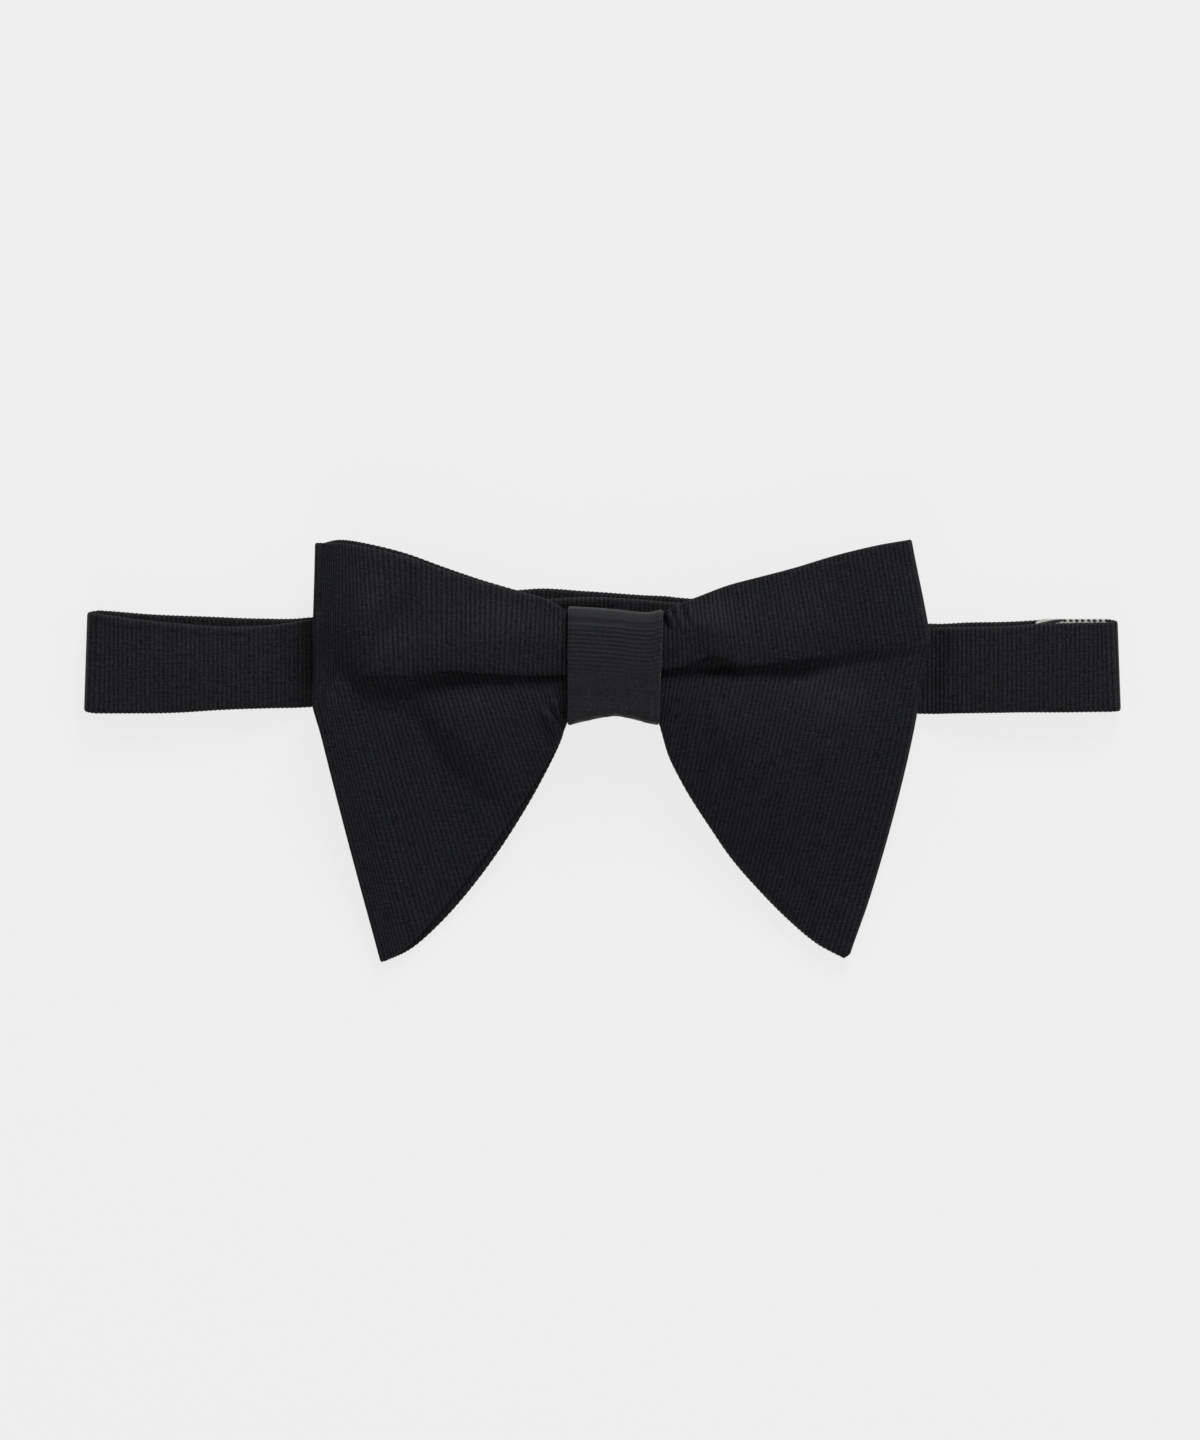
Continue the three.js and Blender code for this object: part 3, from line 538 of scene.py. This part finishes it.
def weave_group():
    """The finish of ribbed cloth: painted shade in the grooves between its cords, less of it where the
    cloth is plain, fine warp threads over them, cords that differ a little in tone, and a few specks of
    lint."""
    group = bpy.data.node_groups.new("ribbed_weave", "ShaderNodeTree")
    sockets = group.interface
    sockets.new_socket("Weave", in_out="INPUT", socket_type="NodeSocketVector")
    sockets.new_socket("Shaded Groove", in_out="INPUT", socket_type="NodeSocketColor")
    sockets.new_socket("Cord", in_out="INPUT", socket_type="NodeSocketColor")
    sockets.new_socket("Color", in_out="OUTPUT", socket_type="NodeSocketColor")
    sockets.new_socket("Roughness", in_out="OUTPUT", socket_type="NodeSocketFloat")
    sockets.new_socket("Height", in_out="OUTPUT", socket_type="NodeSocketFloat")
    nodes, links = group.nodes, group.links
    given = nodes.new("NodeGroupInput")
    result = nodes.new("NodeGroupOutput")

    def noise(across, along, detail):
        spread = nodes.new("ShaderNodeMapping")
        spread.inputs["Scale"].default_value = (across, along, 0)
        cloud = nodes.new("ShaderNodeTexNoise")
        cloud.inputs["Scale"].default_value = 1
        cloud.inputs["Detail"].default_value = detail
        links.new(given.outputs["Weave"], spread.inputs["Vector"])
        links.new(spread.outputs["Vector"], cloud.inputs["Vector"])
        return cloud.outputs["Fac"]

    def maths(operation, a, b, c=0.0):
        node = nodes.new("ShaderNodeMath")
        node.operation = operation
        for socket, value in zip(node.inputs, (a, b, c)):
            if hasattr(value, "links"):
                links.new(value, socket)
            else:
                socket.default_value = value
        return node.outputs["Value"]

    place = nodes.new("ShaderNodeSeparateXYZ")
    links.new(given.outputs["Weave"], place.inputs["Vector"])
    wander = maths("MULTIPLY_ADD", noise(0.9, 0.7, 1), 0.5, place.outputs["X"])
    phase = maths("FRACT", maths("SUBTRACT", wander, 0.25), 0)
    # Painted shade: in the grooves between the cords the colour falls towards the groove tone, for the
    # shade that lies in them, and less where the weave's third value says the cloth is plain.
    shaded_groove = maths("ABSOLUTE", maths("MULTIPLY_ADD", phase, 2, -1), 0)
    shaded_groove = maths("POWER", shaded_groove, RIB_SQUARENESS)
    shaded_groove = maths("MULTIPLY", shaded_groove, maths("SUBTRACT", 1, place.outputs["Z"]))
    beads = noise(1.3, 3.0, 1)
    threads = noise(0.3, 3.4, 1)
    streaks = noise(1.0, 0.25, 1)
    cord = maths("MULTIPLY_ADD", beads, 1.6, maths("MULTIPLY", threads, 1.2))
    cord = maths("MULTIPLY_ADD", streaks, 0.5, cord)
    cord = maths("SUBTRACT", cord, 0.95)
    tone = maths("SUBTRACT", cord, maths("MULTIPLY", shaded_groove, PAINTED_GROOVE_SHADE))
    blend = nodes.new("ShaderNodeMix")
    blend.data_type = "RGBA"
    links.new(tone, blend.inputs["Factor"])
    links.new(given.outputs["Shaded Groove"], blend.inputs["A"])
    links.new(given.outputs["Cord"], blend.inputs["B"])
    lint = maths("MULTIPLY", maths("GREATER_THAN", noise(2.1, 2.3, 0), LINT_FROM), LINT_SHOWS)
    dusty = nodes.new("ShaderNodeMix")
    dusty.data_type = "RGBA"
    links.new(lint, dusty.inputs["Factor"])
    links.new(blend.outputs["Result"], dusty.inputs["A"])
    dusty.inputs["B"].default_value = LINT
    links.new(dusty.outputs["Result"], result.inputs["Color"])
    links.new(maths("MULTIPLY_ADD", threads, 0.25, 0.5), result.inputs["Roughness"])
    links.new(maths("SUBTRACT", threads, shaded_groove), result.inputs["Height"])
    return group


ribbed_weave = weave_group()


def ribbed_cloth(name, shaded_groove, cord, bump, sheen=0.015):
    """A material of ribbed cloth with its cords in the cord tone and painted shade in the shaded_groove
    tone in its grooves, with its threads raised by bump mm.
    """
    material, nodes, links, shader = new_material(name)
    threads = nodes.new("ShaderNodeAttribute")
    threads.attribute_name = "weave"
    finish = nodes.new("ShaderNodeGroup")
    finish.node_tree = ribbed_weave
    finish.inputs["Shaded Groove"].default_value = (*shaded_groove, 1)
    finish.inputs["Cord"].default_value = (*cord, 1)
    raised = nodes.new("ShaderNodeBump")
    raised.inputs["Distance"].default_value = bump * MM
    links.new(threads.outputs["Vector"], finish.inputs["Weave"])
    links.new(finish.outputs["Color"], shader.inputs["Base Color"])
    links.new(finish.outputs["Roughness"], shader.inputs["Roughness"])
    links.new(finish.outputs["Height"], raised.inputs["Height"])
    links.new(raised.outputs["Normal"], shader.inputs["Normal"])
    shader.inputs["Specular IOR Level"].default_value = 0.1
    shader.inputs["Sheen Weight"].default_value = sheen
    shader.inputs["Sheen Roughness"].default_value = 0.5
    return material


def rib_length(middle):
    """How far each point is along its rib, from the top edge."""
    way = np.linalg.norm(np.diff(middle, axis=1), axis=2)
    return np.concatenate([np.zeros((len(middle), 1)), np.cumsum(way, 1)], 1)


def capped(values):
    """Repeats the first and last line, for the flat ends of a strip."""
    return np.concatenate([values[:1], values, values[-1:]])


# The groove tone is painted shade for the grooves between the cords; the cord tone is the cloth's own.
BOW_GROOVE_SHADE = (0.0024, 0.0026, 0.0034)
BOW_CORD = (0.0163, 0.0170, 0.0200)
THREADS_RAISED = 0.05

bow_cloth = ribbed_cloth("black_faille", BOW_GROOVE_SHADE, BOW_CORD, THREADS_RAISED)
for side, name, area in ((-1, "left_wing", 0.0070), (1, "right_wing", 0.0071)):
    middle, u = wing_middle(side)
    radius = BOW_HALF_CLOTH + RIB_HEIGHT * (rib_profile(u, RIB_PITCH) - 0.5)
    radius = np.concatenate([[0], radius, [0]])[:, None]
    middle, ribs = capped(middle), capped(u / RIB_PITCH)
    skin = wrap_cloth(middle, radius)
    wing = cloth_piece(name, skin, ribs, round_places(rib_length(middle)), bow_cloth)
    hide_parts("bow")


# The knot. It is a loop of the same cloth with its ribs across the bow tie, drawn tight round
# the pinched middle of the bow and sewn behind, so that its lower edge is pulled up.
KNOT_HALF_CLOTH = 0.42
KNOT_RIB_PITCH = 0.82
KNOT_BACK_HEIGHT = 6.3
KNOT_TOP_CORNER = 2.4
KNOT_BOTTOM_CORNER = 1.4
KNOT_BACK_CORNER = 1.2
KNOT_PLACES = 36
KNOT_HALF_WIDTH = 9.3
KNOT_CORNER_STEPS = 8
KNOT_SHOWN = 21.0
KNOT_FACE_SPAN = (0.84, 0.14)
KNOT_FACE_STEPS = 16
KNOT_FACE_ABOVE = 9
PUCKER_RISE = 0.16
PUCKER_SWAY = 0.12
PRESSED = 0.75
RIBS_FADE_LOW = (-3, 2)
RIBS_FADE_HIGH = (6, 8.5)
# The knot's groove tone is painted shade in its grooves, lighter than the bow's.
KNOT_GROOVE_SHADE = (0.0042, 0.0046, 0.0055)
KNOT_CORD = (0.0156, 0.0163, 0.0181)
KNOT_SHEEN = 0.12

KNOT_EDGES = table(
    "top_x top_y bottom_x bottom_y",
    (-9.1, 11.4, -9.2, -11.7),
    (-4.5, 11.15, -4.6, -10.65),
    (0.2, 10.8, 0.2, -10.0),
    (4.9, 10.3, 4.8, -10.85),
    (7.4, 10.3, 6.9, -11.4),
    (9.4, 10.75, 8.5, -11.7),
)

# Height of the knot's outer face from its bottom edge (0) to its top edge (1).
KNOT_FACE = table(
    "across height",
    (0.0, 12.6),
    (0.15, 12.6),
    (0.3, 13.0),
    (0.45, 13.35),
    (0.6, 13.5),
    (0.8, 13.4),
    (1.0, 12.9),
)


def knot_loop(row):
    """One section of the knot, round from the top edge down its face and up behind."""
    half = KNOT_HALF_CLOTH + RIB_HEIGHT / 2
    bottom, top = row["bottom_y"] + half, row["top_y"] - half

    def face_height(across):
        return where(KNOT_FACE, "across", across)["height"] - half

    def corner(y, z, start, end, radius):
        angle = np.radians(np.linspace(start, end, KNOT_CORNER_STEPS))
        return np.stack([y + radius * np.cos(angle), z + radius * np.sin(angle)], 1)

    across = np.linspace(*KNOT_FACE_SPAN, KNOT_FACE_STEPS)
    face = np.stack([mix(bottom, top, across), face_height(across)], 1)
    top_z = face_height(1.0) - KNOT_TOP_CORNER
    low_z = face_height(0.0) - KNOT_BOTTOM_CORNER
    back_z = KNOT_BACK_HEIGHT + KNOT_BACK_CORNER
    loop = np.concatenate([
        corner(top - KNOT_TOP_CORNER, top_z, 0, 90, KNOT_TOP_CORNER),
        face,
        corner(bottom + KNOT_BOTTOM_CORNER, low_z, 90, 180, KNOT_BOTTOM_CORNER),
        corner(bottom + KNOT_BACK_CORNER, back_z, 180, 270, KNOT_BACK_CORNER),
        corner(top - KNOT_BACK_CORNER, back_z, 270, 360, KNOT_BACK_CORNER),
    ])
    share = np.clip((loop[:, 0] - row["bottom_y"]) / (row["top_y"] - row["bottom_y"]), 0, 1)
    x = mix(row["bottom_x"], row["top_x"], share) * (1 - KNOT_HALF_CLOTH / KNOT_HALF_WIDTH)
    return np.concatenate([x[:, None], loop], 1)


def evenly(points, count, usual=None):
    """A closed line with its points spread evenly, the first one repeated at the end, and its
    length. What it has more or less than the usual length is spread over its hidden part."""
    points = np.concatenate([points, points[:1]])
    way = np.concatenate([[0], np.cumsum(np.linalg.norm(np.diff(points, axis=0), axis=1))])
    usual = usual or way[-1]
    place = np.linspace(0, usual, count + 1)
    place = np.interp(place, (0, KNOT_SHOWN, usual), (0, KNOT_SHOWN, way[-1]))
    return np.stack([np.interp(place, way, column) for column in points.T], 1), way[-1]


knot_rows = between(KNOT_EDGES, np.linspace(0, len(KNOT_EDGES["top_x"]) - 1, KNOT_PLACES))
loops = [knot_loop({k: v[i] for k, v in knot_rows.items()}) for i in range(KNOT_PLACES)]
knot_length = evenly(loops[KNOT_PLACES // 4], 8)[1]
lines = round(knot_length / KNOT_RIB_PITCH) * RIB_STEPS
middle = np.stack([evenly(loop, lines, knot_length)[0] for loop in loops], 1)
low = smooth(-middle[:, :, 1], 2, 10) * smooth(middle[:, :, 2], KNOT_FACE_ABOVE, 11)
puckers = np.sin(middle[:, :, 0] * 2.1 + 0.4) + 0.6 * np.sin(middle[:, :, 0] * 3.7 + 2)
middle[:, :, 2] += PUCKER_RISE * low * puckers
middle[:, :, 1] += PUCKER_SWAY * low * np.sin(middle[:, :, 0] * 1.7 + 1)
ribs = np.arange(lines + 1) / RIB_STEPS
ribbed = smooth(middle[:, :, 1], *RIBS_FADE_LOW)
ribbed = ribbed * smooth(-middle[:, :, 1], -RIBS_FADE_HIGH[1], -RIBS_FADE_HIGH[0])
# Where the knot is pressed its ribs are lower and its grooves carry less painted shade.
pressed = PRESSED * np.where(middle[:, :, 2] > KNOT_FACE_ABOVE, 1 - ribbed, 0)
profile = (rib_profile(ribs, 1)[:, None] - 0.5) * (1 - pressed)
skin = wrap_cloth(middle, KNOT_HALF_CLOTH + RIB_HEIGHT * profile, ring=True)
knot_cloth = ribbed_cloth("knot_faille", KNOT_GROOVE_SHADE, KNOT_CORD, THREADS_RAISED, KNOT_SHEEN)
knot = cloth_piece(
    "knot_wrap", skin, ribs, round_places(rib_length(middle)), knot_cloth,
    round_places(pressed),
)
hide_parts("knot")


# The neck band. One strip of the ribbed cloth about 18 mm wide lies flattened as a loop: from
# its end over the clasp's left bar along the table to the left fold, back along the front run
# to the right fold, and along the table to its other end over the clasp's right bar. The clasp
# is a plain plate and stays as it comes.
BAND_HALF_CLOTH = 0.5
BAND_RIB_PITCH = 0.88
BAND_RIB_STEPS = 5
BAND_RIB_HEIGHT = 0.12
BAND_LEFT_AXIS = -100.9
BAND_RIGHT_AXIS = 96.0
BAND_FOLD_RADIUS = 1.7
BACK_RUN_HEIGHT = 0.6
FOLD_SLANT = 0.6
CLASP_LEFT_BAR = 28.0
CLASP_RIGHT_BAR = 38.0
CLASP_BAR_HEIGHT = 2.0
BAR_WRAP_RADIUS = 1.4
BAND_TAIL = 12.0
BAND_TAIL_HEIGHT = 2.1
WRAP_STEPS = 15
TAIL_STEPS = 10
FOLD_STEPS = 25
FRONT_STEPS = 160
LEFT_BACK_STEPS = 120
RIGHT_BACK_STEPS = 60
FOLD_EASE = 3
BAR_EASE = 5
HEM_WIDTH = 1.1
HEM_RISE = 0.1
HEM_STEP = (0.95, 1.25)
HEM_SHOWS_ABOVE = 3.5
# The band's groove tone is painted shade in its grooves.
BAND_GROOVE_SHADE = (0.0025, 0.0026, 0.0033)
BAND_CORD = (0.0190, 0.0193, 0.0219)

BACK_RUN = table(
    "x top bottom",
    (-101.0, 10.7, -8.8),
    (-90.0, 9.9, -9.0),
    (-80.0, 9.5, -8.6),
    (-69.0, 9.1, -8.3),
    (-60.0, 9.3, -8.1),
    (-40.0, 11.6, -6.0),
    (-17.0, 14.8, -3.2),
    (-5.0, 14.4, -3.7),
    (5.0, 13.7, -4.3),
    (12.0, 13.2, -4.9),
    (33.0, 11.0, -7.0),
    (50.0, 9.0, -9.0),
    (62.0, 8.1, -9.5),
    (69.0, 8.35, -9.4),
    (77.0, 8.5, -9.3),
    (87.0, 9.0, -9.1),
    (96.0, 9.0, -8.9),
)

FRONT_RUN = table(
    "x top bottom height crown",
    (-101.0, 10.0, -9.5, 4.0, 0.0),
    (-94.0, 9.0, -9.5, 4.0, 0.2),
    (-86.0, 8.2, -9.4, 4.0, 0.6),
    (-76.0, 7.5, -8.8, 3.9, 0.6),
    (-67.0, 7.8, -8.5, 3.0, 0.2),
    (-60.0, 8.8, -8.3, 1.9, 0.0),
    (-48.0, 9.4, -7.4, 4.7, 0.0),
    (-25.0, 11.4, -6.0, 4.9, 0.0),
    (-7.0, 13.2, -4.6, 4.9, 0.0),
    (10.0, 12.3, -5.4, 4.9, 0.0),
    (30.0, 10.4, -7.4, 4.9, 0.0),
    (50.0, 8.6, -9.2, 4.5, 0.0),
    (61.0, 7.4, -9.6, 1.9, 0.0),
    (66.0, 7.4, -9.5, 3.3, 0.1),
    (74.0, 7.5, -9.4, 4.0, 0.3),
    (78.5, 7.7, -9.3, 4.2, 0.2),
    (81.5, 8.0, -9.3, 4.2, 0.2),
    (87.0, 8.2, -9.3, 4.1, 0.2),
    (96.0, 8.35, -9.2, 4.0, 0.0),
)


def stations(x, z, edges, crown=0.0, slant=0.0):
    """Places along the band: x, z, top edge, bottom edge, crown and slant for each."""
    columns = (x, z, edges["top"], edges["bottom"], crown, slant)
    return np.stack([np.broadcast_to(c, np.shape(x)).astype(float) for c in columns], 1)


def run_along(x):
    return stations(x, BACK_RUN_HEIGHT, where(BACK_RUN, "x", x))


def bar_wrap(bar, side, upwards):
    """The half turn of the band's end over a bar of the clasp."""
    angle = np.radians(np.linspace(90, -90, WRAP_STEPS)) * (-1 if upwards else 1)
    x = bar - side * BAR_WRAP_RADIUS * np.cos(angle)
    edges = where(BACK_RUN, "x", np.full(WRAP_STEPS, bar))
    return stations(x, CLASP_BAR_HEIGHT + BAR_WRAP_RADIUS * np.sin(angle), edges)


def bar_tail(bar, side):
    """The band's turned end, from its raw edge to where it meets the bar."""
    share = np.linspace(1, 0.12, TAIL_STEPS)
    x = bar + side * BAND_TAIL * share
    rise = smooth(1 - share, 0.3, 0.9)
    z = mix(BAND_TAIL_HEIGHT, CLASP_BAR_HEIGHT + BAR_WRAP_RADIUS, rise)
    return stations(x, z, where(BACK_RUN, "x", x))


def end_fold(axis, side, near, far):
    """The half turn at an end of the loop, between the edges of the two runs."""
    share = np.linspace(0, 1, FOLD_STEPS)
    angle = np.radians(mix(-90, 90, share)) * (1 if side < 0 else -1)
    edges = {k: mix(near[k], far[k], share) for k in ("top", "bottom")}
    z = BACK_RUN_HEIGHT + BAND_FOLD_RADIUS + BAND_FOLD_RADIUS * np.sin(angle)
    return stations(axis + side * BAND_FOLD_RADIUS * np.cos(angle), z, edges, 0, -side * FOLD_SLANT)


front_x = np.linspace(BAND_LEFT_AXIS + FOLD_EASE, BAND_RIGHT_AXIS - FOLD_EASE, FRONT_STEPS)
left_x = np.linspace(CLASP_LEFT_BAR - BAR_EASE, BAND_LEFT_AXIS + FOLD_EASE, LEFT_BACK_STEPS)
right_x = np.linspace(BAND_RIGHT_AXIS - FOLD_EASE, CLASP_RIGHT_BAR + BAR_EASE, RIGHT_BACK_STEPS)
front_run = where(FRONT_RUN, "x", front_x)
run_ends = {k: {n: v[k] for n, v in BACK_RUN.items()} for k in (0, -1)}
front_ends = {k: {n: v[k] for n, v in FRONT_RUN.items()} for k in (0, -1)}
strip = np.concatenate([
    bar_tail(CLASP_LEFT_BAR, -1),
    bar_wrap(CLASP_LEFT_BAR, -1, False),
    run_along(left_x),
    end_fold(BAND_LEFT_AXIS, -1, run_ends[0], front_ends[0]),
    stations(front_x, front_run["height"], front_run, front_run["crown"]),
    end_fold(BAND_RIGHT_AXIS, 1, front_ends[-1], run_ends[-1]),
    run_along(right_x),
    bar_wrap(CLASP_RIGHT_BAR, 1, True),
    bar_tail(CLASP_RIGHT_BAR, 1)[::-1],
])
steps = np.linalg.norm(np.diff(strip[:, :2], axis=0), axis=1)
way = np.concatenate([[0], np.cumsum(steps)])
u = np.arange(0, way[-1], BAND_RIB_PITCH / BAND_RIB_STEPS)
x, z, top, bottom, crown, slant = (np.interp(u, way, c)[:, None] for c in strip.T)
v = np.array([0, 0.5, HEM_STEP[0], HEM_WIDTH, HEM_STEP[1], 1.9, 4, 6.5, 9, 11.5, 14, 16, 17.3, 18])
share = (v / v[-1])[None]
edge = BAND_HALF_CLOTH + BAND_RIB_HEIGHT / 2
y = mix(top - edge, bottom + edge, share)
hem = HEM_RISE * smooth(v, *HEM_STEP)[None] * (z > HEM_SHOWS_ABOVE) * (x < 0)
lift = crown * np.sin(math.pi * share) - hem
middle = np.stack([x + slant * (0.5 - share), y, z + lift], 2)
radius = BAND_HALF_CLOTH + BAND_RIB_HEIGHT * (rib_profile(u, BAND_RIB_PITCH) - 0.5)
radius = np.concatenate([[0], radius, [0]])[:, None]
middle, ribs = capped(middle), capped(u / BAND_RIB_PITCH)
skin = wrap_cloth(middle, radius)
band_cloth = ribbed_cloth("band_faille", BAND_GROOVE_SHADE, BAND_CORD, THREADS_RAISED)
band = cloth_piece(
    "band_strip", skin, ribs, round_places(rib_length(middle)), band_cloth
)
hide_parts("neck_band")


# The label. A small piece of off-white woven tape, bare, lies on the inner face of the back run
# near the right fold. It is sewn on along its upper edge with black thread, so that only a
# narrow strip of it and the stitches show above the front run.
LABEL_X = (82.0, 96.0)
LABEL_Y = (-1.5, 8.86)
LABEL_HALF_CLOTH = 0.18
LABEL_Z = 1.4
LABEL_CORNER = (1.3, 0.75)
STITCH_SPACING = 1.16
STITCH_START = 87.7
STITCH_COUNT = 8
STITCH_REACH = 0.4
STITCH_Y = (8.75, 8.62)
STITCH_LOOP_Y = (8.95, 8.6)
STITCH_RISE = 0.2
THREAD_RADIUS = 0.2
LOOSE_RISE = (0.1, 0.15)
LABEL_PLACES = (57, 25)
TAPE_THREAD_PITCH = 0.3
TAPE_SHADE = (0.3, 0.3, 0.29, 1)
TAPE_WHITE = (0.85, 0.84, 0.8, 1)
THREAD_BLACK = (0.008, 0.008, 0.009, 1)

# The loose ends of the thread that cross the label's cut corner.
LOOSE_ENDS = table(
    "left_x left_y right_x right_y radius",
    (81.6, 7.75, 87.3, 8.75, 0.32),
    (83.8, 8.3, 87.5, 8.8, 0.3),
)

x = np.linspace(*LABEL_X, LABEL_PLACES[0])
y = np.linspace(LABEL_Y[1], LABEL_Y[0], LABEL_PLACES[1])
x, y = np.meshgrid(x, y, indexing="ij")
corner = np.clip(1 - (x - LABEL_X[0]) / LABEL_CORNER[0], 0, 1) * LABEL_CORNER[1]
y = y - corner * (y - LABEL_Y[0]) / (LABEL_Y[1] - LABEL_Y[0])
z = LABEL_Z + 0.05 * np.sin(x * 1.9) * np.sin(y * 1.3 + 1)
middle = capped(np.stack([x, y, z], 2))
radius = np.concatenate([[0], np.full(len(x), LABEL_HALF_CLOTH), [0]])[:, None]
along = capped(x[:, 0] / TAPE_THREAD_PITCH)
tape, nodes, links, shader = new_material("white_tape")
threads = nodes.new("ShaderNodeAttribute")
threads.attribute_name = "weave"
fine = nodes.new("ShaderNodeTexNoise")
fine.inputs["Scale"].default_value = 3
tones = nodes.new("ShaderNodeMix")
tones.data_type = "RGBA"
tones.inputs["A"].default_value = TAPE_SHADE
tones.inputs["B"].default_value = TAPE_WHITE
links.new(threads.outputs["Vector"], fine.inputs["Vector"])
links.new(fine.outputs["Fac"], tones.inputs["Factor"])
links.new(tones.outputs["Result"], shader.inputs["Base Color"])
shader.inputs["Roughness"].default_value = 0.8
label = cloth_piece(
    "label_tape", wrap_cloth(middle, radius), along, round_places(rib_length(middle)), tape
)
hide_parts("size_label")

thread_black, nodes, links, shader = new_material("black_thread")
shader.inputs["Base Color"].default_value = THREAD_BLACK
shader.inputs["Roughness"].default_value = 0.6
stitches = bmesh.new()


def stitch(start, end, radius):
    """One short thread that lies on the tape, sunk at both ends."""
    start, end = mathutils.Vector(start), mathutils.Vector(end)
    made = bmesh.ops.create_uvsphere(stitches, u_segments=10, v_segments=8, radius=1)
    turn = (end - start).to_track_quat("Z", "Y").to_matrix().to_4x4()
    size = mathutils.Matrix.Diagonal((radius, radius, (end - start).length / 2, 1))
    matrix = mathutils.Matrix.Translation((start + end) / 2) @ turn @ size
    bmesh.ops.transform(stitches, matrix=matrix, verts=made["verts"])


for k in range(STITCH_COUNT):
    x = STITCH_START + k * STITCH_SPACING
    top = LABEL_Z + STITCH_RISE
    stitch((x - STITCH_REACH, STITCH_Y[0], top), (x + STITCH_REACH, STITCH_Y[1], top), THREAD_RADIUS)
    stitch((x - 0.1, STITCH_LOOP_Y[0], LABEL_Z), (x, STITCH_LOOP_Y[1], top), THREAD_RADIUS)
for left_x, left_y, right_x, right_y, radius in zip(*LOOSE_ENDS.values()):
    stitch((left_x, left_y, LABEL_Z + LOOSE_RISE[0]), (right_x, right_y, LABEL_Z + LOOSE_RISE[1]), radius)
bmesh.ops.scale(stitches, vec=(MM, MM, MM), verts=stitches.verts)
bmesh.ops.recalc_face_normals(stitches, faces=stitches.faces)
label_stitches = bpy.data.objects.new("label_stitches", bpy.data.meshes.new("label_stitches"))
stitches.to_mesh(label_stitches.data)
stitches.free()
label_stitches.data.shade_smooth()
label_stitches.data.materials.append(thread_black)
bpy.context.scene.collection.objects.link(label_stitches)
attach(label_stitches, "root")
